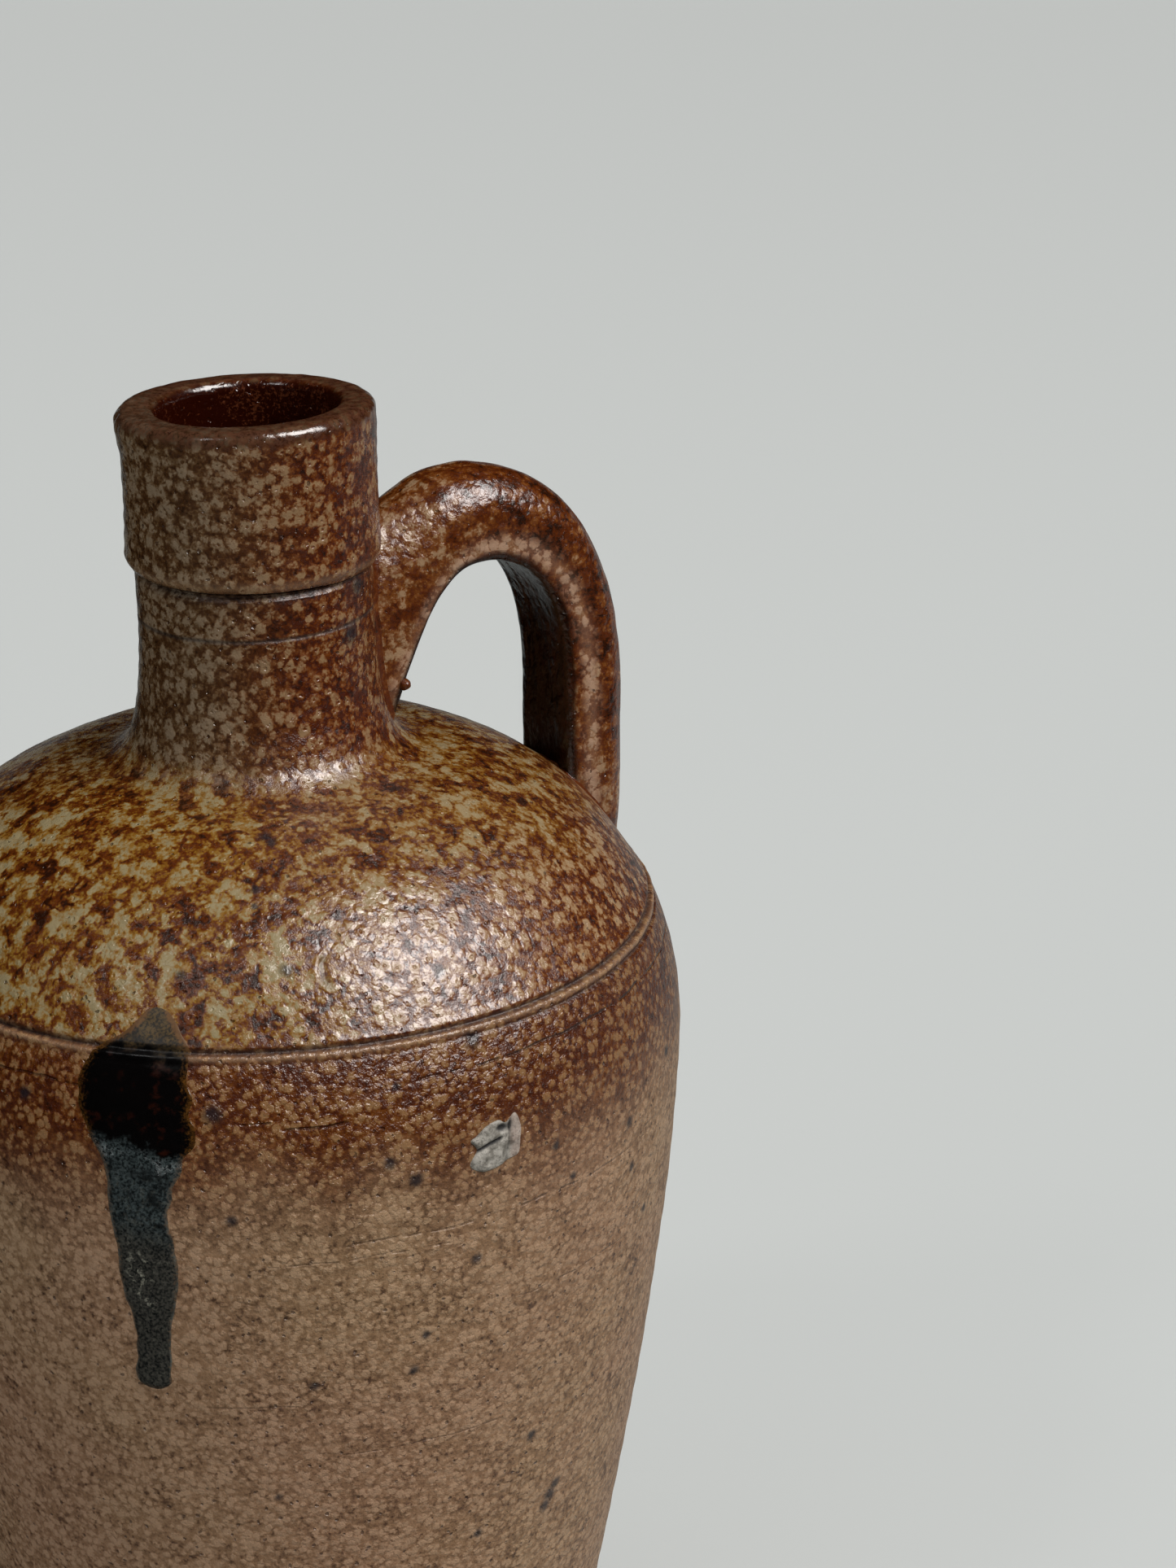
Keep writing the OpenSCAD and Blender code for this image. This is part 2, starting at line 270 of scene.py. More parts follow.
def incised_line(w):
    """The line between body and shoulder, with a second line under it towards the handle."""
    wander = 0.12 * np.sin(2 * w.angle + 0.6) + 0.06 * noise(w.place, 21)
    up = w.z - LINE_Z - wander
    line = cut(up, 0.5)
    burr = bell(up + 0.85, 0.42)
    near_handle = smoothstep(62, 30, np.abs(turn(w.azimuth, -38)))
    second = cut(up + 1.75, 0.4) * (0.2 + 0.8 * near_handle)
    w.height = w.height - 0.5 * line + 0.26 * burr + 0.08 * bell(up - 0.8, 0.4) - 0.36 * second
    w.cut = np.maximum(w.cut, np.maximum(line, 0.8 * second))
    # The burr is painted pale: thinner glaze and a painted highlight
    w.ridge = np.maximum(w.ridge, burr)


def neck_cuts(w):
    """The fine line on the neck, and the undercut below the collar."""
    on_neck = w.outside * smoothstep(200, 205, w.z)
    up = w.z - NECK_LINE - 0.25 * np.sin(w.angle + 2)
    w.height = w.height - 0.13 * (cut(up, 0.34) * on_neck)
    w.cut = np.maximum(w.cut, 0.95 * cut(up, 0.5) * on_neck)
    facing = smoothstep(75, 35, np.abs(turn(w.azimuth, -128)))
    up = w.z - COLLAR_BASE
    undercut = cut(up + 0.25 + 0.1 * noise(w.place, 5), 0.72) * on_neck * (0.3 + 0.7 * facing)
    undercut = undercut * (0.9 + 0.35 * noise(w.place + 13, 6))
    edge = bell(up - 1.5, 0.75) * on_neck
    bank = cut(up + 0.8, 1.1) * on_neck
    w.height = w.height - 0.75 * undercut + 0.16 * edge
    w.cut = np.maximum(w.cut, np.maximum(0.9 * undercut, 0.25 * bank))
    # The collar's lower edge is painted pale: thinner glaze and a painted highlight
    w.ridge = np.maximum(w.ridge, 0.6 * edge)


def crescent_scar(w):
    """A crescent scar on the shoulder, open to the right."""
    x = w.across(-107.0)
    y = (w.z - 176.6) * 1.25
    ring = np.hypot(x - 2.6, y)
    left_half = smoothstep(-0.2, -1.2, x - 1.2) * smoothstep(3.4, 2.0, np.abs(y))
    groove = bell(ring - 3.1, 0.4) * left_half
    w.height = w.height - 0.5 * groove + 0.26 * bell(ring - 3.8, 0.4) * left_half
    w.cut = np.maximum(w.cut, 0.8 * groove)


def scuffed_clay(w):
    """A small patch of scuffed clay on the belly."""
    where = bell(w.across(-119.5), 2.2) * bell(w.z - 125.4, 1.1)
    rough = noise(w.place + 7, 1.1)
    w.height = w.height + 0.2 * where * rough
    w.ridge = np.maximum(w.ridge, 0.5 * where * smoothstep(0, 0.4, rough))


def iron_craters(w):
    for azimuth, z, size, height in RAISED_SPOTS:
        near = np.hypot(w.across(azimuth), w.z - z)
        w.height = w.height + height * bell(near - 0.55 * size, 0.4 * size)
        w.height = w.height - 0.6 * height * bell(near, 0.4 * size)


def torn_lip(w):
    """The lip torn a little where the throwing ended."""
    torn = bell(turn(w.azimuth, 158), 13) * smoothstep(TOTAL_HEIGHT - 3.5, TOTAL_HEIGHT - 0.8, w.z)
    w.height = w.height + torn * (0.5 * noise(w.place + 3, 2.2) - 0.15)


def relief(azimuth, r, z):
    """Height in mm over the turned outline, and the shares of cut and ridge."""
    wall = Wall(azimuth, r, z)
    on_body = smoothstep(6, 30, z) * smoothstep(168, 150, z)
    throwing_rings(wall, BODY_RING, 0.04, 1.6 * noise(wall.place, 30), on_body)
    on_neck = smoothstep(196, 202, z) * wall.outside
    throwing_rings(wall, NECK_RING, 0.035, 1.4 * noise(wall.place, 11), on_neck)
    for feature in (orange_peel, incised_line, neck_cuts, crescent_scar, scuffed_clay, iron_craters,
                    torn_lip):
        feature(wall)
    return wall.height, wall.cut, wall.ridge


def outer_points(path, azimuth):
    """Points in rows along the path and columns round the bottle, with their cut and ridge shares."""
    r, z, azimuth = np.broadcast_arrays(path[:, :1], path[:, 1:], azimuth[None, :])
    height, deep, proud = relief(azimuth, r, z)
    normals = row_normals(path)
    r_out = r + height * normals[:, :1]
    z_out = z + height * normals[:, 1:]
    # The lip dips and flares a little on one side
    low = 0.5 + 0.5 * np.cos(np.radians(turn(azimuth, LIP_LOW_AZIMUTH)))
    near_lip = smoothstep(TOTAL_HEIGHT - 16, TOTAL_HEIGHT, z)
    z_out = np.clip(z_out - 0.75 * low * near_lip, 0, TOTAL_HEIGHT)
    flare = bell(turn(azimuth, LIP_LOW_AZIMUTH), 55) * smoothstep(TOTAL_HEIGHT - 9, TOTAL_HEIGHT - 1.5, z)
    r_out = r_out + 0.75 * flare * smoothstep(MOUTH_R, COLLAR_R, r)
    a = np.radians(azimuth)
    return np.stack([r_out * np.cos(a), r_out * np.sin(a), z_out], -1), deep, proud


def grid_normals(points):
    """Vertex normals of a grid whose columns close up."""
    along = np.gradient(points, axis=0)
    around = np.roll(points, -1, axis=1) - np.roll(points, 1, axis=1)
    return unit(np.cross(around, along))


# ==== Mesh building ====
def add_mesh(name, points, faces, normals=None):
    """A smooth-shaded mesh object from points in millimetres."""
    mesh = bpy.data.meshes.new(name)
    mesh.from_pydata((np.asarray(points) * MM).tolist(), [], faces)
    mesh.validate()
    mesh.polygons.foreach_set("use_smooth", np.ones(len(mesh.polygons), bool))
    if normals is not None:
        mesh.normals_split_custom_set_from_vertices(normals.tolist())
    piece = bpy.data.objects.new(name, mesh)
    bpy.context.scene.collection.objects.link(piece)
    return piece


def grid_faces(rows, columns, close_rows=False, close_columns=True, start=0):
    i = np.arange(rows if close_rows else rows - 1)
    j = np.arange(columns if close_columns else columns - 1)
    i, j = np.meshgrid(i, j, indexing="ij")
    i2, j2 = (i + 1) % rows, (j + 1) % columns
    quads = np.stack([i * columns + j, i * columns + j2, i2 * columns + j2, i2 * columns + j], -1) + start
    return quads.reshape(-1, 4).tolist()


def fan(ring_start, count, centre, flip):
    """Triangles from a ring of vertices to one in its middle."""
    k = np.arange(count)
    pairs = zip(ring_start + k, ring_start + (k + 1) % count)
    return [(centre, int(b), int(a)) if flip else (centre, int(a), int(b)) for a, b in pairs]


def set_attribute(piece, name, values):
    attribute = piece.data.attributes.new(name, "FLOAT", "POINT")
    attribute.data.foreach_set("value", np.asarray(values, np.float32).ravel())


def glaze_regions(points):
    """Where each kind of glaze lies: shares between 0 and 1 at points in millimetres."""
    azimuth = np.degrees(np.arctan2(points[..., 1], points[..., 0]))
    r = np.hypot(points[..., 0], points[..., 1])
    z = points[..., 2]
    blotch = noise(points, 26)
    fine = noise(points + 31, 9)
    in_mouth = smoothstep(MOUTH_R + 1.5, MOUTH_R + 0.3, r) * smoothstep(DOME_TOP - 8, DOME_TOP, z)
    return {
        "belly": smoothstep(158, 134, z + 5 * blotch + 3 * fine),
        "band": smoothstep(168.5, 166, z),
        "dome": smoothstep(166.5, 168.5, z) * smoothstep(197.5, 190.5, z + 2 * fine),
        "grey": smoothstep(105, 25, np.abs(turn(azimuth, -178) + 10 * blotch)),
        "ash": np.maximum(smoothstep(78, 22, np.abs(turn(azimuth, -152) + 22 * blotch + 10 * fine)),
                          0.7 * smoothstep(176, 186, z + 4 * fine)),
        "blush": np.clip(0.5 + 0.9 * noise(points + 57, 38) + 0.3 * fine, 0, 1),
        "mouth": in_mouth,
        "lip": smoothstep(TOTAL_HEIGHT - 3.4, TOTAL_HEIGHT - 1.4, z + 0.6 * fine) * (1 - in_mouth),
    }


def add_regions(piece, points):
    for name, values in glaze_regions(points).items():
        set_attribute(piece, name, values)


def finish_piece(piece, node, material):
    piece.data.materials.append(material)
    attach(piece, "root")
    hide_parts(node)


# ==== Distance from the bottle, for everything that is joined to it ====
def outer_profile():
    """Rows of the turned outline from just over the foot to the collar's side, with their normals."""
    rows = np.concatenate([OUTER_PARTS["body"], OUTER_PARTS["shoulder"][1:], OUTER_PARTS["neck"][1:],
                           OUTER_PARTS["collar"][1:60]])
    rows = rows[rows[:, 1] > 2]
    return rows, row_normals(rows)


OUTLINE, OUTLINE_NORMALS = outer_profile()
BATCH = 20000


def on_wall(azimuth, z):
    """Point of the turned outline at an azimuth and height."""
    r = float(np.interp(z, OUTLINE[:, 1], OUTLINE[:, 0]))
    a = math.radians(azimuth)
    return (r * math.cos(a), r * math.sin(a), z)


def nearest_rows(points):
    """Radius and height of each point, and the outline's row that lies nearest to it."""
    flat = points.reshape(-1, 3)
    rz = np.stack([np.hypot(flat[:, 0], flat[:, 1]), flat[:, 2]], 1)
    starts = range(0, len(rz), BATCH)
    nearest = [np.argmin(((rz[k:k + BATCH, None] - OUTLINE) ** 2).sum(-1), 1) for k in starts]
    return rz, np.concatenate(nearest)


def distance_from_wall(points):
    """Signed distance in mm from the turned outline: positive outside."""
    rz, nearest = nearest_rows(points)
    out = ((rz - OUTLINE[nearest]) * OUTLINE_NORMALS[nearest]).sum(-1)
    return out.reshape(points.shape[:-1])


def wall_point(azimuth, z, lift=0.0):
    """Points on the finished wall at azimuths and heights, lifted off it along its normal."""
    azimuth, z, lift = np.broadcast_arrays(azimuth, z, lift)
    r = np.interp(z, OUTLINE[:, 1], OUTLINE[:, 0])
    nr = np.interp(z, OUTLINE[:, 1], OUTLINE_NORMALS[:, 0])
    nz = np.interp(z, OUTLINE[:, 1], OUTLINE_NORMALS[:, 1])
    h = relief(azimuth, r, z)[0] + lift
    a = np.radians(azimuth)
    return np.stack([(r + h * nr) * np.cos(a), (r + h * nr) * np.sin(a), z + h * nz], -1)


def drop_to_wall(points, height):
    """The points moved along the wall's normal to stand at the given height over the finished wall."""
    azimuth = np.degrees(np.arctan2(points[..., 1], points[..., 0]))
    _, nearest = nearest_rows(points)
    return wall_point(azimuth, OUTLINE[nearest, 1].reshape(azimuth.shape), height)


# ==== Shaders ====
def paint(red, green, blue):
    """Linear colour of an sRGB colour given from 0 to 255."""
    linear = [c / 12.92 if c <= 0.04045 else ((c + 0.055) / 1.055) ** 2.4
              for c in (red / 255, green / 255, blue / 255)]
    return (*linear, 1.0)


class Value:
    """What a shader's node gives: numbers can be added, multiplied and stepped like any other."""

    def __init__(self, shader, socket):
        self.shader = shader
        self.socket = socket

    def __add__(self, other):
        return self.shader.math("ADD", self, other)

    def __sub__(self, other):
        return self.shader.math("SUBTRACT", self, other)

    def __mul__(self, other):
        return self.shader.math("MULTIPLY", self, other)

    def __abs__(self):
        return self.shader.math("ABSOLUTE", self)

    def or_more(self, other):
        """The greater of the two."""
        return self.shader.math("MAXIMUM", self, other)

    def swing(self, strength):
        """How far noise between 0 and 1 swings from its middle, times a strength."""
        return (self - 0.5) * strength

    def step(self, low, high, to_low=0.0, to_high=1.0):
        """Goes smoothly from to_low to to_high as the value goes from low to high."""
        if low > high:
            low, high, to_low, to_high = high, low, to_high, to_low
        inputs = {"Value": self, "From Min": low, "From Max": high, "To Min": to_low, "To Max": to_high}
        return self.shader.value("ShaderNodeMapRange", inputs, "Result", interpolation_type="SMOOTHSTEP")


def mix(share, a, b):
    """The colour a where share is 0 and b where it is 1."""
    return share.shader.value("ShaderNodeMix", {0: share, 6: a, 7: b}, 2, data_type="RGBA")


def blend(share, a, b):
    """The number a where share is 0 and b where it is 1."""
    return share.shader.value("ShaderNodeMix", {0: share, 2: a, 3: b}, 0, data_type="FLOAT")


class Shader:
    """A material with short calls for the nodes that the glazes share. Sizes are in millimetres."""

    def __init__(self, name, ior=1.5):
        self.material = bpy.data.materials.new(name)
        self.material.use_nodes = True
        self.tree = self.material.node_tree
        self.surface = self.tree.nodes["Principled BSDF"].inputs
        self.surface["IOR"].default_value = ior
        metres = self.value("ShaderNodeTexCoord", {}, "Object")
        self.place = self.vector("SCALE", {0: metres, "Scale": 1 / MM})

    def put(self, socket, value):
        if isinstance(value, Value):
            self.tree.links.new(value.socket, socket)
        else:
            socket.default_value = value

    def node(self, kind, inputs, **settings):
        made = self.tree.nodes.new(kind)
        for key, setting in settings.items():
            setattr(made, key, setting)
        for key, value in inputs.items():
            self.put(made.inputs[key], value)
        return made

    def value(self, kind, inputs, output, **settings):
        return Value(self, self.node(kind, inputs, **settings).outputs[output])

    def math(self, operation, a, b=0.0):
        return self.value("ShaderNodeMath", {0: a, 1: b}, 0, operation=operation)

    def vector(self, operation, inputs, output="Vector"):
        return self.value("ShaderNodeVectorMath", inputs, output, operation=operation)

    def attributes(self, *names):
        return [self.value("ShaderNodeAttribute", {}, "Fac", attribute_name=name) for name in names]

    def noise(self, size, detail=3.0, place=None, roughness=0.5, output="Fac"):
        place = self.place if place is None else place
        inputs = {"Vector": place, "Scale": 1 / size, "Detail": detail, "Roughness": roughness}
        return self.value("ShaderNodeTexNoise", inputs, output)

    def warped(self, size, amount):
        """The place, pushed about by noise of the given size."""
        push = self.noise(size, 2.0, output="Color")
        push = self.vector("SUBTRACT", {0: push, 1: (0.5, 0.5, 0.5)})
        push = self.vector("SCALE", {0: push, "Scale": amount})
        return self.vector("ADD", {0: self.place, 1: push})

    def cells(self, size, place, output="Distance"):
        """Round cells of the given size: how far each place is from its cell's middle."""
        return self.value("ShaderNodeTexVoronoi", {"Vector": place, "Scale": 1 / size}, output)

    def spots(self, spots):
        """1 inside any of the spots (middle and radius), with ragged edges."""
        place = self.warped(1.3, 0.9)
        mask = None
        for middle, radius in spots:
            far = self.vector("DISTANCE", {0: place, 1: middle}, "Value")
            spot = far.step(radius * 1.3, radius * 0.25)
            mask = spot if mask is None else mask.or_more(spot)
        return mask

    def finish(self, colour, roughness, height, depth):
        """The material, with its colour, its roughness and a bump of the given depth."""
        bump = self.value("ShaderNodeBump", {"Distance": depth * MM, "Height": height}, "Normal")
        self.put(self.surface["Base Color"], colour)
        self.put(self.surface["Roughness"], roughness)
        self.put(self.surface["Normal"], bump)
        return self.material


# ==== Glazes ====
DEEP_BROWN = paint(44, 16, 5)
PITCH = paint(18, 9, 5)
# Pale of the ridges: part thinner glaze, part painted highlight
RIDGE_TAN_AND_HIGHLIGHT = paint(168, 138, 108)
LIP_DARK, LIP_WORN = paint(30, 15, 8), paint(72, 46, 33)
MOUTH_RED, MOUTH_SPECK = paint(34, 6, 1), paint(80, 40, 22)
IRON = paint(28, 23, 27)
# Colours from poor in iron to rich in iron
NECK_WARM = (paint(122, 94, 64), paint(93, 44, 2), paint(63, 19, 0), paint(28, 6, 0))
NECK_GREY = (paint(114, 96, 75), paint(84, 60, 34), paint(62, 36, 12), paint(34, 16, 4))
DOME_WARM = (paint(136, 108, 78), paint(99, 53, 12), paint(64, 20, 0), paint(28, 7, 0))
DOME_ASH = (paint(127, 113, 82), paint(116, 80, 20), paint(80, 34, 1), paint(36, 11, 0))
BAND = (paint(117, 84, 51), paint(90, 46, 5), paint(62, 21, 0), paint(28, 8, 0))
BELLY = (paint(146, 117, 87), paint(121, 91, 60), paint(76, 50, 26), paint(44, 24, 10))
BELLY_PINK = (paint(146, 114, 87), paint(121, 88, 60), paint(76, 48, 30), paint(44, 24, 14))
STRAP = (paint(136, 108, 80), paint(100, 54, 14), paint(74, 29, 2), paint(32, 9, 0))


def scored_lines(s):
    """1 along the lines scored round the body, 0 elsewhere."""
    x, y, z = (s.value("ShaderNodeSeparateXYZ", {0: s.place}, axis) for axis in range(3))
    azimuth = s.math("ARCTAN2", y, x) * math.degrees(1)
    wander = s.noise(9.0, 2.0).swing(1.6)
    broken = s.noise(3.0, 2.0).step(0.38, 0.50)
    mask = None
    for height, rise, half_width, middle, half_length in SCORED_LINES:
        along = azimuth - middle
        up = z + wander + (along * -rise - height)
        line = abs(up).step(half_width, half_width * 0.2)
        line = line * abs(along).step(half_length, half_length * 0.7)
        mask = line if mask is None else mask.or_more(line)
    return mask * broken


def droplets(s, size, grain, place):
    """0 in the middle of each glaze droplet and 1 between them, and how far off the middle is."""
    middle = s.cells(size, place)
    colour = s.cells(size, place, "Color")
    wide = s.value("ShaderNodeSeparateColor", {0: colour}, 0).step(0.0, 1.0, -0.16, 0.16)
    edge = middle + wide + grain.swing(0.7)
    return edge.step(0.18, 0.68), middle


def iron_colours(iron, colours):
    """Colour of a glaze from its share of iron: pale, then amber, then rust, then deep brown."""
    pale, amber, rust, deep = colours
    colour = mix(iron.step(0.06, 0.40), pale, amber)
    colour = mix(iron.step(0.34, 0.64), colour, rust)
    return mix(iron.step(0.62, 1.0), colour, deep)


def between(share, some, others):
    return [mix(share, a, b) for a, b in zip(some, others)]


def salt_parts(s):
    """What every zone of the salt glaze is made of: shares of the zones, noise, droplets and marks."""
    names = ("belly", "band", "dome", "grey", "ash", "blush", "mouth", "lip", "cut", "ridge")
    g = SimpleNamespace(**dict(zip(names, s.attributes(*names))))
    g.warped = s.warped(0.9, 0.9)
    g.grain = s.noise(0.6, 4.0, roughness=0.7)
    g.patch = s.noise(8.0, roughness=0.6)
    g.blotch = s.noise(3.2, place=s.warped(2.2, 1.8), roughness=0.6)
    g.peel = s.noise(0.95, roughness=0.6)
    g.drop, middle = droplets(s, 1.9, g.grain, g.warped)
    g.small, small_middle = droplets(s, 1.3, g.grain, g.warped)
    g.mixed = g.drop * g.small.step(0.0, 1.0, 0.48, 1.0)
    g.crater = middle.step(0.20, 0.06)
    g.burst = small_middle.step(0.16, 0.05)
    g.pore = s.cells(2.3, g.warped).step(0.15, 0.07)
    g.scored = scored_lines(s)
    return g


def neck_colour(g):
    """Pale droplets in rust on the neck and collar."""
    iron = (g.mixed * 0.54 + g.patch.swing(0.4) + g.blotch.swing(0.6) + g.grain.swing(0.7)
            + g.peel.swing(0.9) + g.crater * 0.3 + blend(g.grey, 0.16, 0.07))
    return iron_colours(iron, between(g.grey, NECK_WARM, NECK_GREY))


def shoulder_colour(s, g):
    """Brown veins round pale blotches."""
    vein = s.noise(5.0, 2.5, s.warped(2.4, 2.4), roughness=0.6)
    vein = abs(vein - 0.5).step(0.075, 0.006) * g.patch.step(0.34, 0.60, 0.35, 1.0)
    wide = s.noise(3.6, 3.0, s.warped(2.0, 2.0), roughness=0.6)
    iron = (wide.step(0.38, 0.62) * (g.ash * 0.50) + vein * blend(g.ash, 0.26, 0.36)
            + g.mixed * blend(g.ash, 0.54, 0.26) + g.blotch.swing(0.7) + g.patch.swing(0.5)
            + g.grain.swing(0.8) + blend(g.ash, 0.03, -0.03))
    return iron_colours(iron, between(g.ash, DOME_WARM, DOME_ASH))


def band_colour(g):
    """Finer droplets under the line."""
    iron = (g.small * 0.46 + g.patch.swing(0.6) + g.blotch.swing(0.6) + g.peel.swing(0.8)
            + g.grain.swing(0.5) + 0.12)
    return iron_colours(iron, BAND)


def belly_colour(s, g):
    """Matt clay, peppered with iron."""
    fleck = s.noise(1.9, roughness=0.65).step(0.60, 0.70)
    iron = (fleck * 0.12 + g.small * 0.30 + g.patch.swing(0.4) + g.blotch.swing(0.5) + g.peel.swing(0.8)
            + g.grain.swing(0.4) + 0.06)
    return iron_colours(iron, between(g.blush, BELLY, BELLY_PINK))


def salt_colour(s, g):
    colour = mix(g.dome, neck_colour(g), shoulder_colour(s, g))
    colour = mix(g.band, colour, band_colour(g))
    colour = mix(g.belly, colour, belly_colour(s, g))
    colour = mix(g.lip * 0.8, colour, mix(g.grain.step(0.35, 0.6), LIP_DARK, LIP_WORN))
    speckle = (g.grain + g.patch.swing(0.4)).step(0.54, 0.68)
    colour = mix(g.mouth, colour, mix(speckle, MOUTH_RED, MOUTH_SPECK))
    # Darker in the cuts, paler on the ridges as thinner glaze and a painted highlight, and pricked with
    # pores
    colour = mix(g.cut * 0.7, colour, PITCH)
    colour = mix(g.ridge * 0.36, colour, RIDGE_TAN_AND_HIGHLIGHT)
    colour = mix(g.scored * blend(g.belly, 0.62, 0.20), colour, DEEP_BROWN)
    colour = mix(g.pore * 0.6, colour, DEEP_BROWN)
    iron_spot = s.spots([(on_wall(azimuth, z), radius) for azimuth, z, radius in IRON_SPOTS])
    return mix(iron_spot * 0.85, colour, IRON)


def salt_roughness(g):
    glossy = (g.grain + g.patch.swing(0.4)).step(0.3, 0.75, 0.22, 0.34)
    rough = blend(g.cut, blend(g.belly, glossy, 0.48), 0.6)
    return blend(g.mouth, blend(g.lip, rough, 0.17), 0.16)


def salt_height(g):
    """Droplets stand up with a burst bubble in the middle; pores and scored lines are sunk."""
    coat = g.drop * -0.26 + g.crater * -0.35 + g.grain * 0.45 + g.blotch * 0.25 + g.peel * 0.3
    fine = g.small * blend(g.belly, -0.34, -0.40) + g.burst * -0.2 + g.peel + g.grain * 0.3
    height = blend(g.band, coat, fine) + g.pore * -0.8 + g.scored * blend(g.belly, -0.9, -0.25)
    return height * (blend(g.lip, 1.0, 0.3) * blend(g.mouth, 1.0, 0.3))


def salt_glaze(name):
    """Mottled salt glaze: droplets on the neck, veined blotches on the shoulder, matt pebbled belly."""
    s = Shader(name, ior=1.6)
    g = salt_parts(s)
    return s.finish(salt_colour(s, g), salt_roughness(g), salt_height(g), 0.34)


def strap_glaze(name):
    """Glossy rust glaze, pale where it thins at the root, with a pale painted reflection along the near edge
    and painted shade on the inner face.
    """
    s = Shader(name, ior=1.6)
    across, along, inner, root, edge = s.attributes("across", "along", "inner", "root", "edge")
    flow = s.value("ShaderNodeCombineXYZ", {0: across, 1: along * 0.22, 2: inner * 9.0}, 0)
    streak = s.noise(2.2, 4.0, flow, roughness=0.6)
    patch = s.noise(6.0, roughness=0.6)
    blotch = s.noise(2.4, 3.0, s.warped(1.8, 1.4), roughness=0.6)
    grain = s.noise(0.55, 4.0, roughness=0.65)
    warped = s.warped(1.3, 0.9)
    drop, _ = droplets(s, 1.9, grain, warped)
    pore = s.cells(2.3, warped).step(0.13, 0.06)

    # Paler at the root where the glaze runs thin; the paling along the near edge is a painted reflection
    thin = (edge * 0.9).or_more(root * 0.75)
    iron = drop * 0.26 + patch.swing(0.8) + blotch.swing(1.3) + grain.swing(0.9) + blend(thin, 0.50, 0.14)
    colour = iron_colours(iron, STRAP)
    # Pale painted reflection along the near inner edge
    painted_sheen_wash = (drop + grain.swing(1.2)).step(1.05, 0.25, 0.22, 0.95)
    colour = mix(edge * painted_sheen_wash, colour, paint(150, 120, 98))
    # Painted shade: the inner face is given near-black tones
    shade = (grain + streak.swing(0.6)).step(0.4, 0.75)
    colour = mix(inner, colour, mix(shade, paint(16, 5, 2), paint(50, 19, 8)))
    colour = mix(pore * 0.6, colour, DEEP_BROWN)
    gloss = (grain + patch.swing(0.4)).step(0.3, 0.75, 0.19, 0.31)
    height = drop * -0.35 + grain * 0.35 + streak * 0.5 + blotch * 0.8 + pore * -0.5
    return s.finish(colour, blend(inner, gloss, 0.16), height, 0.32)


def luting_glaze(name):
    """The same glaze over smeared slip."""
    s = Shader(name)
    fine = s.noise(0.8, 4.0, roughness=0.6)
    patch = s.noise(3.6, roughness=0.6)
    iron = fine + patch.swing(1.0) + 0.12
    return s.finish(iron_colours(iron, STRAP), 0.30, fine + patch * 0.8, 0.16)


def run_zones(level, fine, patch):
    """Colours of the dark run by level: charcoal, blue-grey, black and, at the top, smoky brown."""
    mottle = fine.step(0.36, 0.64)
    charcoal = mix(mottle, paint(16, 18, 17), paint(58, 56, 50))
    blue = mix(mottle, paint(12, 17, 18), paint(54, 62, 62))
    blue = mix(patch.step(0.50, 0.66, 0.0, 0.8), blue, paint(10, 12, 12))
    black = mix(patch.step(0.55, 0.75), paint(5, 4, 4), paint(34, 12, 6))
    smoky = mix(fine.step(0.38, 0.62), paint(24, 19, 8), paint(72, 54, 22))
    colour = mix(level.step(136, 142), charcoal, blue)
    colour = mix(level.step(151.5, 154.0), colour, black)
    return mix(level.step(166.5, 169.5), colour, smoky)


def run_glaze(name):
    """The dark run: smoky where it starts, black and glassy at the line, blue-grey and crusted below."""
    s = Shader(name)
    side, height_mm = s.attributes("side", "height")
    fine = s.noise(0.45, 4.0, roughness=0.65)
    patch = s.noise(2.6, roughness=0.6)
    level = height_mm + patch.swing(7.0) + side * 1.2
    colour = run_zones(level, fine, patch)

    crust = level.step(150.6, 151.6) * level.step(153.6, 152.2)
    crust = crust * (fine.step(0.38, 0.62) * patch.step(0.42, 0.58))
    colour = mix(crust * 0.6, colour, paint(104, 114, 114))
    rim = abs(side).step(0.86, 0.98) * level.step(156, 146) * patch.step(0.4, 0.7, 0.1, 0.55)
    colour = mix(rim, colour, paint(96, 104, 100))
    start = height_mm.step(165, 173, 0.0, 0.45)
    thin = (abs(side) + fine.swing(0.6) + start).step(0.84, 1.12)
    colour = mix(thin * 0.7, colour, paint(92, 58, 20))
    speck = s.noise(1.1, 4.0, s.warped(0.9, 1.2), roughness=0.7).step(0.52, 0.64)
    zone = level.step(124, 129) * level.step(138, 132) * abs(side + 0.25).step(0.6, 0.2)
    zone = zone * 0.75 + level.step(151, 146, 0.0, 0.10)
    colour = mix(speck * zone, colour, paint(128, 126, 112))

    rough = level.step(150, 155, 0.30, 0.10).or_more(level.step(163, 168, 0.0, 0.42))
    height = fine * level.step(156, 150, 0.15, 1.0) + crust * 1.2
    return s.finish(colour, rough.or_more(crust * 0.6), height, 0.12)


def grit(name):
    """Fired kiln dirt: grey, matt and porous, with near-black cracks."""
    s = Shader(name)
    depth, warm = s.attributes("crack", "warm")
    coarse = s.noise(1.6, 4.0, roughness=0.7)
    fine = s.noise(0.35, 4.0, roughness=0.7)
    colour = mix(coarse.step(0.36, 0.64), paint(94, 89, 80), paint(146, 141, 132))
    colour = mix(warm * 0.35, colour, paint(150, 122, 108))
    colour = mix(fine.step(0.46, 0.34, 0.0, 0.6), colour, paint(48, 42, 38))
    colour = mix(depth, colour, paint(14, 11, 10))
    return s.finish(colour, 0.72, coarse + fine * 0.6, 0.2)


# ==== The bottle: four closed pieces that meet at the potter's lines ====
AZIMUTHS = np.arange(COLUMNS) * 360 / COLUMNS - 180
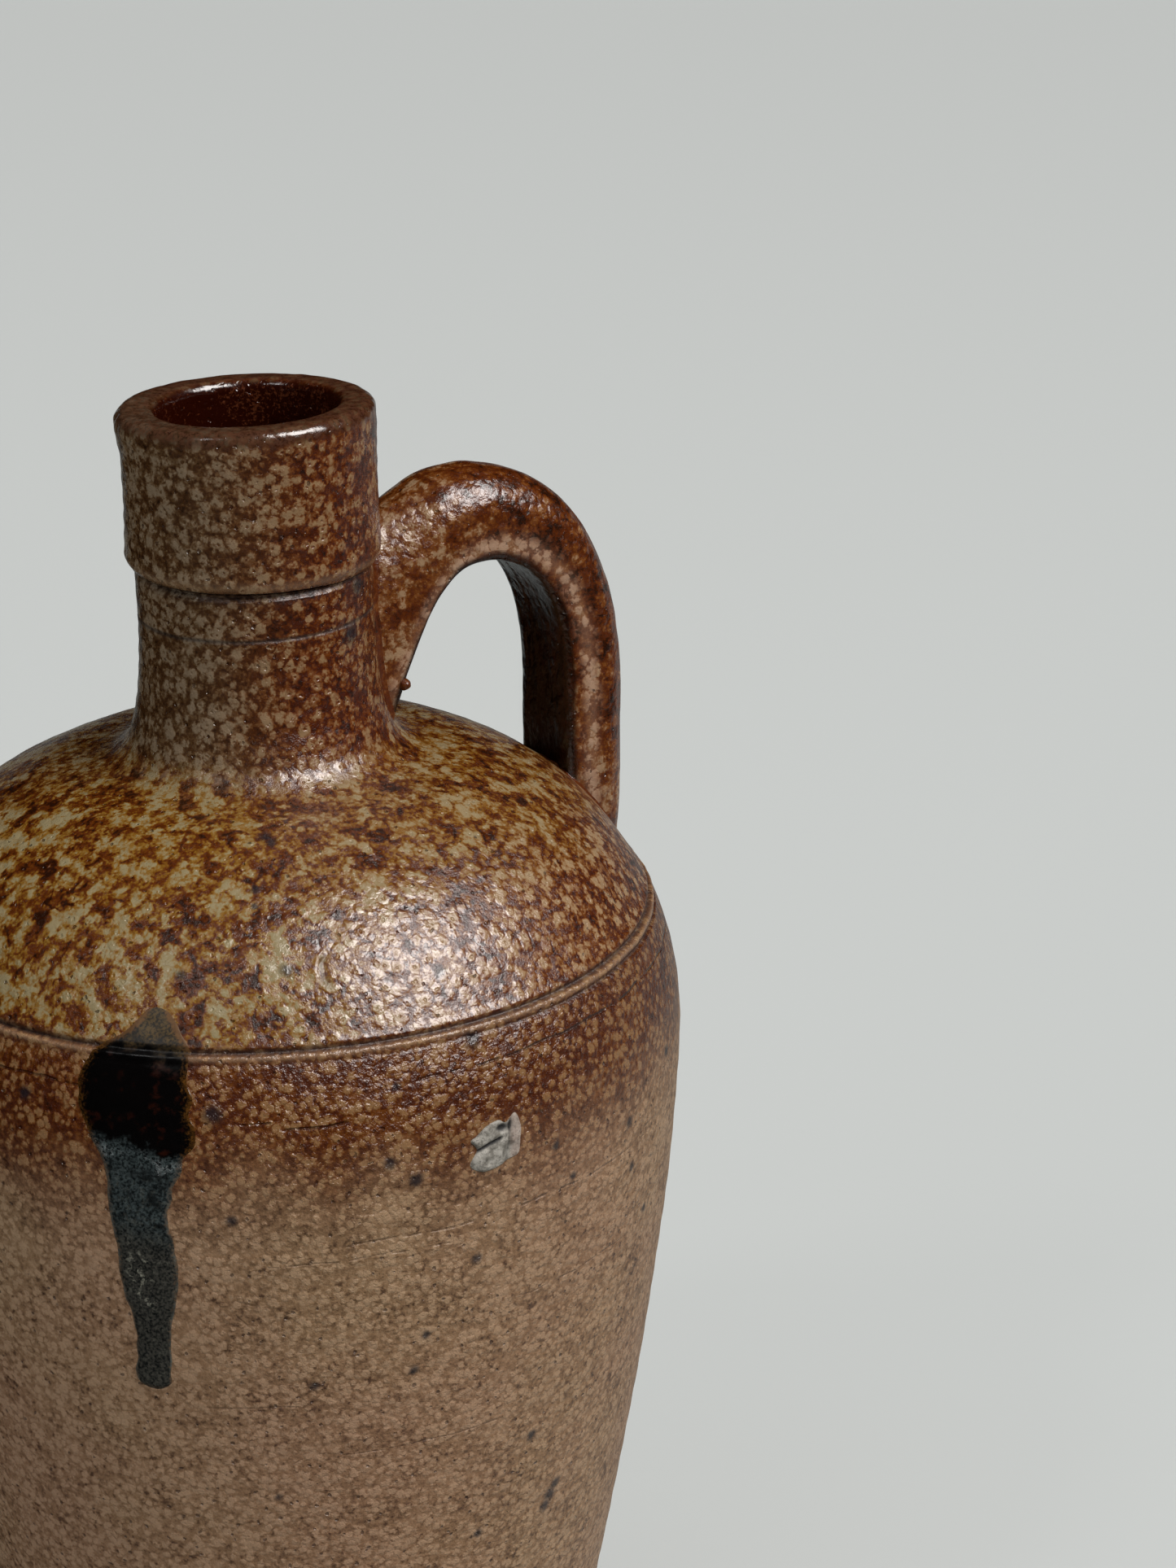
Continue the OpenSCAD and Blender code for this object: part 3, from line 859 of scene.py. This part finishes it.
# Node: name of the piece, and its glaze
BOTTLE_PIECES = {
    "body": ("body_wall", "belly_salt_glaze"),
    "shoulder": ("shoulder_dome", "shoulder_salt_glaze"),
    "neck": ("neck_wall", "neck_salt_glaze"),
    "collar": ("mouth_collar", "neck_salt_glaze"),
}


def lathe_points(path):
    a = np.radians(AZIMUTHS)
    path = np.asarray(path, float)
    heights = np.broadcast_to(path[:, 1:], (len(path), COLUMNS))
    return np.stack([path[:, :1] * np.cos(a), path[:, :1] * np.sin(a), heights], -1)


def smooth_path(points, count):
    return catmull_rom(points, np.linspace(0, len(points) - 1, count))


def body_inside():
    """Inner wall of the body, from the incised line down to the middle of the floor."""
    z = np.linspace(LINE_Z, FLOOR + FOOT_HOLLOW + 6, 70)
    wall = np.stack([body_radius(z) - WALL, z], 1)
    corner_z = FLOOR + FOOT_HOLLOW
    corner = [(wall[-1, 0], wall[-1, 1]), (wall[-1, 0] - 2.2, corner_z + 1.6), (wall[-1, 0] - 6, corner_z)]
    across = [(r, corner_z) for r in np.linspace(wall[-1, 0] - 8, 2, 12)]
    return np.concatenate([wall, smooth_path(corner, 8)[1:], across])


def shoulder_inside():
    """Inner wall of the shoulder: a flared root under the neck, then a shell under the dome."""
    a = np.radians(np.linspace(0, 90, 16))
    root_r = NECK_R + NECK_SPREAD
    root = np.stack([MOUTH_R + (root_r - MOUTH_R) * (1 - np.cos(a)), DOME_TOP - WALL * np.sin(a)], 1)
    stations = np.array([(f * BELLY_R, LINE_Z + h * DOME_RISE) for f, h in DOME_SHAPE])
    lean = np.radians(15 * np.arange(5, -1, -1))
    under = stations[5::-1] - WALL * np.stack([np.cos(lean), np.sin(lean)], 1)
    return np.concatenate([root, smooth_path(np.concatenate([root[-1:], under]), 40)[1:]])


def neck_inside():
    return np.stack([np.full(30, MOUTH_R), np.linspace(COLLAR_BASE, DOME_TOP, 30)], 1)


def under_foot():
    """Underside of the body, from the middle out to the standing ring's outer corner."""
    hollow_r = FOOT_R - FOOT_RING
    flat = [(r, FOOT_HOLLOW) for r in np.linspace(2, hollow_r - 2.6, 14)]
    rise = [(hollow_r - 2.4, FOOT_HOLLOW), (hollow_r - 0.9, 1.1), (hollow_r, 0.15), (hollow_r + 0.6, 0)]
    return np.concatenate([flat, smooth_path(rise, 10), [(FOOT_R - 3.5, 0)]])


def build_bottle():
    grids = {node: outer_points(path, AZIMUTHS) for node, path in OUTER_PARTS.items()}
    outsides = [grid[0] for grid in grids.values()]
    whole_normals = grid_normals(np.concatenate(outsides[:1] + [outside[1:] for outside in outsides[1:]]))
    insides = {"body": body_inside(), "shoulder": shoulder_inside(), "neck": neck_inside()}
    first = 0
    for node, (name, slot) in BOTTLE_PIECES.items():
        outer, deep, proud = grids[node]
        below = lathe_points(under_foot()) if node == "body" else outer[:0]
        inner = lathe_points(insides[node]) if node in insides else outer[:0]
        blocks = [below, outer, inner]
        normals = [np.zeros_like(below), whole_normals[first:first + len(outer)], np.zeros_like(inner)]
        first += len(outer) - 1
        rows = sum(len(block) for block in blocks)
        flat = np.concatenate(blocks).reshape(-1, 3)
        normal = np.concatenate(normals).reshape(-1, 3)
        faces = grid_faces(rows, COLUMNS, close_rows=node != "body")
        if node == "body":
            # The underside and the floor are closed by a fan round a point on the axis
            faces += fan(0, COLUMNS, len(flat), True)
            faces += fan((rows - 1) * COLUMNS, COLUMNS, len(flat) + 1, False)
            flat = np.concatenate([flat, [(0, 0, FOOT_HOLLOW), (0, 0, FLOOR + FOOT_HOLLOW)]])
            normal = np.concatenate([normal, np.zeros((2, 3))])
        piece = add_mesh(name, flat, faces, normal)
        add_regions(piece, flat)
        lead = below.size // 3
        for label, share in (("cut", deep), ("ridge", proud)):
            values = np.zeros(len(flat))
            values[lead:lead + share.size] = share.ravel()
            set_attribute(piece, label, values)
        finish_piece(piece, node, GLAZES[slot])


# ==== The pulled strap and its luting clay ====
OUTER_POWER, INNER_POWER = 2.3, 8.0


def section(angle, half_width, half_thickness):
    power = np.where(np.sin(angle) >= 0, 2 / OUTER_POWER, 2 / INNER_POWER)
    u = half_width * np.sign(np.cos(angle)) * np.abs(np.cos(angle)) ** power
    v = half_thickness * np.sign(np.sin(angle)) * np.abs(np.sin(angle)) ** power
    return u, v


def even_angles(count):
    """Angles that walk round the strap's section in nearly equal steps."""
    angle = np.linspace(0, 2 * math.pi, 4001)
    u, v = section(angle, STRAP_WIDTH / 2, STRAP_THICKNESS / 2)
    length = np.concatenate([[0], np.cumsum(np.hypot(np.diff(u), np.diff(v)))])
    return np.interp(np.arange(count) / count * length[-1], length, angle)


STRAP_ANGLES = even_angles(STRAP_SIDES)


def strap_points(s):
    """Points of the strap at positions s: an array of rows by STRAP_SIDES, s given for each point."""
    shape = s.shape
    station = catmull_rom(STRAP_STATIONS, s.ravel()).reshape(*shape, 4)
    angle = np.broadcast_to(STRAP_ANGLES, shape)
    half = (STRAP_THICKNESS + station[..., 2]) / 2
    tilt = np.radians(station[..., 3])
    u, v = section(angle, STRAP_WIDTH / 2, half)
    # The inner face is a little hollow, as a thumb leaves it
    hollow = 0.35 * np.clip(-np.sin(angle), 0, 1) ** 3 * np.cos(u / STRAP_WIDTH * math.pi)
    v = v + hollow
    x = LOOP_REACH + station[..., 0] + (half + v) * np.cos(tilt)
    z = LOOP_TOP + station[..., 1] + (half + v) * np.sin(tilt)
    return np.stack([x, u, z], -1)


def strap_ends(depth):
    """Position s at which each line of the strap is at the given depth in the wall, at both ends."""
    last = len(STRAP_STATIONS) - 1
    s = np.linspace(0, last, 420)
    grid = strap_points(np.broadcast_to(s[:, None], (len(s), STRAP_SIDES)))
    out = distance_from_wall(grid) + depth
    middle = len(s) // 2 - 10
    starts, stops = [], []
    for k in range(STRAP_SIDES):
        above = out[:, k] > 0
        i = middle
        while i > 0 and above[i - 1]:
            i -= 1
        j = middle
        while j < len(s) - 1 and above[j + 1]:
            j += 1
        starts.append(crossing(s, out[:, k], i - 1, i))
        stops.append(crossing(s, out[:, k], j, j + 1))
    return np.array(starts), np.array(stops)


def crossing(s, value, i, j):
    i, j = max(i, 0), min(j, len(s) - 1)
    if i == j or value[i] == value[j]:
        return s[i]
    share = np.clip(value[i] / (value[i] - value[j]), 0, 1)
    return s[i] + share * (s[j] - s[i])


def build_strap():
    starts, stops = strap_ends(STRAP_SUNK)
    t = np.linspace(0, 1, STRAP_ROWS)
    s = starts[None, :] + (stops - starts)[None, :] * t[:, None]
    grid = strap_points(s)
    normals = grid_normals(grid)
    normals *= np.sign((normals * (grid - grid.mean(1, keepdims=True))).sum(-1).mean())
    along = np.concatenate([[0], np.cumsum(np.linalg.norm(np.diff(grid.mean(1), axis=0), axis=1))])
    along = np.broadcast_to(along[:, None], s.shape)
    around = np.broadcast_to(np.arange(STRAP_SIDES) / STRAP_SIDES * 2 * math.pi, s.shape)
    angle = np.broadcast_to(STRAP_ANGLES, s.shape)
    lines = np.stack([9 * np.cos(around), 9 * np.sin(around), along * 0.09], -1)
    h = 0.22 * noise(grid, 13) + 0.10 * noise(lines, 1.3) + 0.05 * noise(grid + 5, 2.6)
    h = h + 0.03 * noise(grid, 1.5)
    grid = grid + (h - 0.12)[..., None] * normals
    # The ends are closed inside the wall
    ends = [grid[0].mean(0), grid[-1].mean(0)]
    points = np.concatenate([grid.reshape(-1, 3), ends])
    faces = grid_faces(STRAP_ROWS, STRAP_SIDES)
    top = (STRAP_ROWS - 1) * STRAP_SIDES
    faces += fan(0, STRAP_SIDES, len(points) - 2, True) + fan(top, STRAP_SIDES, len(points) - 1, False)
    piece = add_mesh("strap_handle", points, faces)
    # 0 on the inner face and 1 at the crown of the outer face
    u, v = section(angle, 1, 1)
    level = (v + 1) / 2
    # The inner face, where the glaze carries painted shade
    inner = smoothstep(0.17, 0.08, level + 0.03 * noise(grid, 4))
    # Band along the near inner edge where a pale reflection is painted
    sheen_stripe_level = np.interp(along, [0, 25, 45, 60], [0.14, 0.19, 0.26, 0.34])
    painted_sheen_edge = bell(level - sheen_stripe_level + 0.04 * noise(grid, 6), 0.105) * smoothstep(-0.5, -0.8, u)
    root = np.maximum(smoothstep(34, 10, along), 0.8 * smoothstep(68, 88, along))
    shares = {"inner": inner, "edge": painted_sheen_edge, "root": root, "along": along, "across": around * 6}
    for label, values in shares.items():
        set_attribute(piece, label, np.concatenate([values.ravel(), [0, 0]]))
    finish_piece(piece, "handle", strap_glaze("handle_salt_glaze"))


def build_luting(name, node, at_root, spread, climb):
    """A ring of smeared clay in the corner between the strap and the wall."""
    ends = strap_ends(0.0)[0 if at_root else 1]
    inward = 0.12 if at_root else -0.12
    contact = strap_points(ends[None, :])[0]
    up = unit(strap_points(ends[None, :] + inward)[0] - contact)
    base = drop_to_wall(contact, 0.0)
    normal = drop_to_wall(contact, 1.0) - base
    out = unit(np.cross(np.roll(contact, 1, 0) - np.roll(contact, -1, 0), normal))
    if (out * (contact - contact.mean(0))).sum() < 0:
        out = -out
    vary = 1 + 0.3 * noise(contact, 5.0) + 0.2 * noise(contact, 1.8)
    spread = spread * vary[:, None]
    climb = climb * vary[:, None]
    corner = base + 0.10 * (normal + out)
    start = drop_to_wall(base + spread * out, -0.12)
    stop = contact + climb * up - 0.12 * out
    fillet = [(1 - t) ** 2 * start + 2 * t * (1 - t) * corner + t ** 2 * stop for t in np.linspace(0, 1, 11)]
    # The ring closes inside the strap and the wall
    hidden = [contact + 0.5 * climb * up - 0.9 * out, drop_to_wall(base - 0.8 * out, -0.8),
              drop_to_wall(base + 0.4 * spread * out, -0.7)]
    rows = fillet + hidden
    grid = np.stack(rows)
    piece = add_mesh(name, grid.reshape(-1, 3), grid_faces(len(rows), STRAP_SIDES, close_rows=True))
    finish_piece(piece, node, LUTING)


def build_bead():
    """The squeezed-out bead of clay, drawn towards the wall behind it."""
    rings, sides = 22, 36
    polar = np.linspace(0, math.pi, rings)[1:-1][:, None]
    around = np.linspace(0, 2 * math.pi, sides, endpoint=False)[None, :]
    ball = np.stack([np.sin(polar) * np.cos(around), np.sin(polar) * np.sin(around),
                     np.cos(polar) * np.ones_like(around)], -1)
    ball = np.concatenate([ball.reshape(-1, 3), [(0, 0, 1), (0, 0, -1)]])
    centre = np.array([NECK_R + 3.0, 0.6 - STRAP_WIDTH / 2, DOME_TOP + 9.4])
    radius = BEAD_R * (1 + 0.14 * noise(ball * 2 + 3, 1.1))
    points = centre + ball * radius[:, None] * np.array([1.0, 1.15, 0.9])
    rows = rings - 2
    faces = grid_faces(rows, sides)
    faces += fan(0, sides, len(ball) - 2, True)
    faces += fan((rows - 1) * sides, sides, len(ball) - 1, False)
    piece = add_mesh("slip_bead_clay", points, faces)
    finish_piece(piece, "slip_bead", LUTING)


# ==== Fired-on marks ====
def patch_faces(rows, columns):
    """Faces of a closed slab: an upper grid, then a lower grid of the same size."""
    upper = grid_faces(rows, columns, close_columns=False)
    lower = [face[::-1] for face in grid_faces(rows, columns, close_columns=False, start=rows * columns)]
    low = rows * columns
    rim = [i * columns for i in range(rows)] + [(rows - 1) * columns + j for j in range(1, columns)]
    rim += [i * columns + columns - 1 for i in range(rows - 2, -1, -1)] + list(range(columns - 2, 0, -1))
    sides = [(here, after, after + low, here + low) for here, after in zip(rim, rim[1:] + rim[:1])]
    return upper + lower + sides


def build_run():
    rows, columns = 190, 46
    count = len(RUN_SHAPE) - 1
    stations = catmull_rom(RUN_SHAPE, np.linspace(0, count, 400))
    z = np.linspace(RUN_SHAPE[0][0], RUN_SHAPE[-1][0], rows)
    order = np.argsort(stations[:, 0])
    middle = np.interp(z, stations[order, 0], stations[order, 1])[:, None]
    half = np.interp(z, stations[order, 0], stations[order, 2])[:, None]
    blunt = np.clip((z - RUN_SHAPE[-1][0]) / 2.2, 0, 1)
    half = half * np.sqrt(1 - (1 - blunt[:, None]) ** 2 * 0.95)
    side = np.sin(np.linspace(-1, 1, columns) * math.pi / 2)[None, :]
    zz = np.broadcast_to(z[:, None], (rows, columns))
    ragged = 1 + 0.06 * noise(np.stack([zz, zz * 0, zz * 0], -1), 4.0)
    sides = np.sign(side) * np.ones_like(zz)
    ragged = ragged + 0.09 * noise(np.stack([zz, sides * 8, zz * 0], -1), 2.2)
    y = middle + side * half * ragged
    r = np.interp(zz, OUTLINE[:, 1], OUTLINE[:, 0])
    azimuth = RUN_AZIMUTH + np.degrees(np.arcsin(y / r))
    body = np.interp(z, *zip(*RUN_THICKNESS))[:, None]
    dome = np.clip(1 - side ** 2, 0, 1) ** 0.42
    p = wall_point(azimuth, zz)
    lift = body * dome * (1 + 0.25 * noise(p, 3.2) + 0.15 * noise(p + 9, 1.2)) - 0.06
    crust = bell(zz - 152.4 - 1.1 * side + 0.8 * noise(p, 2.4), 1.0) * smoothstep(1.0, 0.75, np.abs(side))
    lift = lift + crust * (0.18 + 0.22 * noise(p + 4, 0.8))
    end = np.minimum(smoothstep(RUN_SHAPE[0][0], RUN_SHAPE[0][0] - 2.5, zz),
                     smoothstep(RUN_SHAPE[-1][0] - 0.2, RUN_SHAPE[-1][0] + 1.4, zz))
    lift = lift * end - 0.06 * (1 - end)
    upper = wall_point(azimuth, zz, lift)
    lower = wall_point(azimuth, zz, -MARK_SUNK)
    points = np.concatenate([upper.reshape(-1, 3), lower.reshape(-1, 3)])
    piece = add_mesh("dark_glaze_run", points, patch_faces(rows, columns))
    set_attribute(piece, "side", np.concatenate([np.broadcast_to(side, y.shape).ravel()] * 2))
    set_attribute(piece, "height", np.concatenate([zz.ravel()] * 2))
    finish_piece(piece, "glaze_run", run_glaze("dark_glaze"))


def build_flake():
    """Three rough lobes of grey dirt round a slit and a hollow, both near-black."""
    rings, sides = 44, 150
    loop = FLAKE_SHAPE[-1:] + FLAKE_SHAPE + FLAKE_SHAPE[:2]
    edge = catmull_rom(loop, 1 + np.arange(sides) / sides * len(FLAKE_SHAPE)) * [FLAKE_STRETCH, 1.0]
    rho = np.linspace(0, 1, rings)[1:] ** 0.85
    uv = rho[:, None, None] * edge[None]
    uv = np.concatenate([np.zeros((1, 2)), uv.reshape(-1, 2)])
    reach = np.concatenate([[0], np.repeat(rho, sides)])
    u, v = uv.T
    p = np.stack([u, v, np.zeros(len(uv))], -1)
    slit = bell(v - 0.1 - 0.25 * (u + 2), 0.42) * smoothstep(1.6, 0.2, u) * smoothstep(-4.4, -3.4, u)
    hollow = bell(np.hypot((u - 0.9) / 1.5, (v - 2.4) / 0.8), 1.0)
    cross = bell(u - 1.9 - 0.2 * v, 0.35) * 0.6
    lump = 0.62 + 0.34 * noise(p + 2, 2.2) + 0.16 * noise(p + 8, 0.8)
    lump = lump * np.sqrt(np.clip(1 - reach ** 6, 0, 1))
    deep = np.clip(slit + hollow + cross, 0, 1)
    lift = np.maximum(lump * (1 - 0.85 * deep), 0.02) - 0.05
    r = float(np.interp(FLAKE_Z, OUTLINE[:, 1], OUTLINE[:, 0]))
    azimuth = FLAKE_AZIMUTH + np.degrees(u / r)
    z = FLAKE_Z + v
    upper, lower = wall_point(azimuth, z, lift), wall_point(azimuth, z, -MARK_SUNK)
    count = len(uv)
    faces = []
    for start, flip in ((0, False), (count, True)):
        cap = fan(start + 1, sides, start, flip)
        quads = grid_faces(rings - 1, sides, start=start + 1)
        faces += cap + [tuple(q[::-1]) if not flip else tuple(q) for q in quads]
    ring = 1 + (rings - 2) * sides
    faces += [(ring + k, ring + (k + 1) % sides, count + ring + (k + 1) % sides, count + ring + k)
              for k in range(sides)]
    piece = add_mesh("grey_flake", np.concatenate([upper, lower]), faces)
    set_attribute(piece, "crack", np.concatenate([smoothstep(0.35, 0.9, deep)] * 2))
    set_attribute(piece, "warm", np.concatenate([smoothstep(1.7, 2.6, u)] * 2))
    finish_piece(piece, "kiln_flake", grit("kiln_grit"))


GLAZES = {name: salt_glaze(name) for name in ("belly_salt_glaze", "shoulder_salt_glaze", "neck_salt_glaze")}
LUTING = luting_glaze("luting_clay")
build_bottle()
build_strap()
build_luting("root_luting", "upper_luting", True, 0.95, 1.1)
build_luting("foot_luting", "lower_luting", False, 0.9, 0.7)
build_bead()
build_run()
build_flake()


# ==== Floor, light and camera, in metres ====
FLOOR_REACH = 30
# The card stands for the bright room behind and to the right of the bottle
CARD_LEFT, CARD_NEAR, CARD_FAR, CARD_HEIGHT = 0.05, -0.15, 4.0, 0.001
LIGHT_TARGET = Vector((0, 0, 0.16))
CAMERA_PLACE = (-0.2248, -0.4822, 0.3833)
CAMERA_HEADING, CAMERA_PITCH = math.radians(59.345), math.radians(-20.495)
CAMERA_ROLL = -0.0104
LENS, SENSOR_WIDTH = 80.13, 36
WINDOW_COLOUR, GLOW_COLOUR = (1.0, 0.975, 0.95), (1.0, 0.94, 0.90)
WHITE, SKY_COLOUR = (1.0, 1.0, 1.0), (0.97, 0.99, 1.0)


def add_sheet(name, material_name, x_range, y_range, height, looks):
    """A level sheet; looks gives the inputs of its plain material."""
    (left, right), (near, far) = x_range, y_range
    mesh = bpy.data.meshes.new(name)
    corners = [(left, near, height), (right, near, height), (right, far, height), (left, far, height)]
    mesh.from_pydata(corners, [], [(0, 1, 2, 3)])
    sheet = bpy.data.objects.new(name, mesh)
    bpy.context.scene.collection.objects.link(sheet)
    material = bpy.data.materials.new(material_name)
    material.use_nodes = True
    surface = material.node_tree.nodes["Principled BSDF"]
    for socket, value in looks.items():
        surface.inputs[socket].default_value = value
    mesh.materials.append(material)
    return sheet


def add_floor():
    looks = {"Base Color": (0.46, 0.475, 0.465, 1), "Roughness": 0.9, "Specular IOR Level": 0.1}
    reach = (-FLOOR_REACH, FLOOR_REACH)
    floor = add_sheet("floor", "pale_floor", reach, reach, 0, looks)
    floor.visible_glossy = False


def add_card():
    """Pale card behind the bottle that only reflections see: the front and left of the studio stay dark."""
    looks = {"Base Color": (0, 0, 0, 1), "Emission Color": (0.28, 0.30, 0.29, 1), "Emission Strength": 1.0}
    x_range, y_range = (CARD_LEFT, CARD_FAR), (CARD_NEAR, CARD_FAR)
    card = add_sheet("reflected_card", "card_glow", x_range, y_range, CARD_HEIGHT, looks)
    card.visible_camera = False
    card.visible_diffuse = False
    card.visible_shadow = False


def add_lamp(name, kind, azimuth, elevation, distance, energy, colour):
    """A lamp that shines on the bottle from a compass direction."""
    light = bpy.data.lights.new(name, kind)
    light.color = colour
    light.energy = energy
    lamp = bpy.data.objects.new(name, light)
    bpy.context.scene.collection.objects.link(lamp)
    a, e = math.radians(azimuth), math.radians(elevation)
    direction = Vector((math.cos(a) * math.cos(e), math.sin(a) * math.cos(e), math.sin(e)))
    lamp.location = LIGHT_TARGET + direction * distance
    lamp.rotation_euler = direction.to_track_quat("Z", "Y").to_euler()
    return lamp


def add_disc(name, azimuth, elevation, distance, size, power, colour):
    lamp = add_lamp(name, "AREA", azimuth, elevation, distance, power, colour)
    lamp.data.shape = "DISK"
    lamp.data.size = size
    return lamp


def add_lights():
    """A broad window at the right, its reflection, and weak light that fills the shadows."""
    window = add_lamp("window", "SUN", -57, 48, 3.0, 3.15, WINDOW_COLOUR)
    window.data.angle = math.radians(36)
    add_disc("glint", -160, 48, 2.2, 0.3, 3.0, WHITE)
    glow = add_disc("window_glow", -58, 50, 2.2, 1.3, 28, GLOW_COLOUR)
    glow.visible_diffuse = False
    fill = add_disc("fill", -155, 8, 2.0, 1.2, 5, WHITE)
    fill.visible_glossy = False
    overhead = add_disc("overhead", -40, 72, 1.6, 1.4, 5, SKY_COLOUR)
    overhead.visible_glossy = False


def set_world():
    world = bpy.data.worlds.new("studio")
    world.use_nodes = True
    background = world.node_tree.nodes["Background"]
    background.inputs["Color"].default_value = (0.94, 0.97, 1.0, 1)
    background.inputs["Strength"].default_value = 0.40
    bpy.context.scene.world = world
    world.cycles_visibility.glossy = False


def add_camera():
    data = bpy.data.cameras.new("camera")
    data.lens = LENS
    data.sensor_width = SENSOR_WIDTH
    camera = bpy.data.objects.new("camera", data)
    bpy.context.scene.collection.objects.link(camera)
    level = Vector((math.cos(CAMERA_HEADING), math.sin(CAMERA_HEADING), 0)) * math.cos(CAMERA_PITCH)
    forward = level + Vector((0, 0, math.sin(CAMERA_PITCH)))
    right = forward.cross(Vector((0, 0, 1))).normalized()
    up = right.cross(forward)
    across, roll = math.cos(CAMERA_ROLL), math.sin(CAMERA_ROLL)
    right, up = right * across + up * roll, up * across - right * roll
    facing = Matrix((right, up, -forward)).transposed().to_4x4()
    camera.matrix_world = Matrix.Translation(CAMERA_PLACE) @ facing
    bpy.context.scene.camera = camera


add_floor()
add_card()
add_lights()
set_world()
add_camera()
bpy.context.scene.view_settings.view_transform = "Standard"
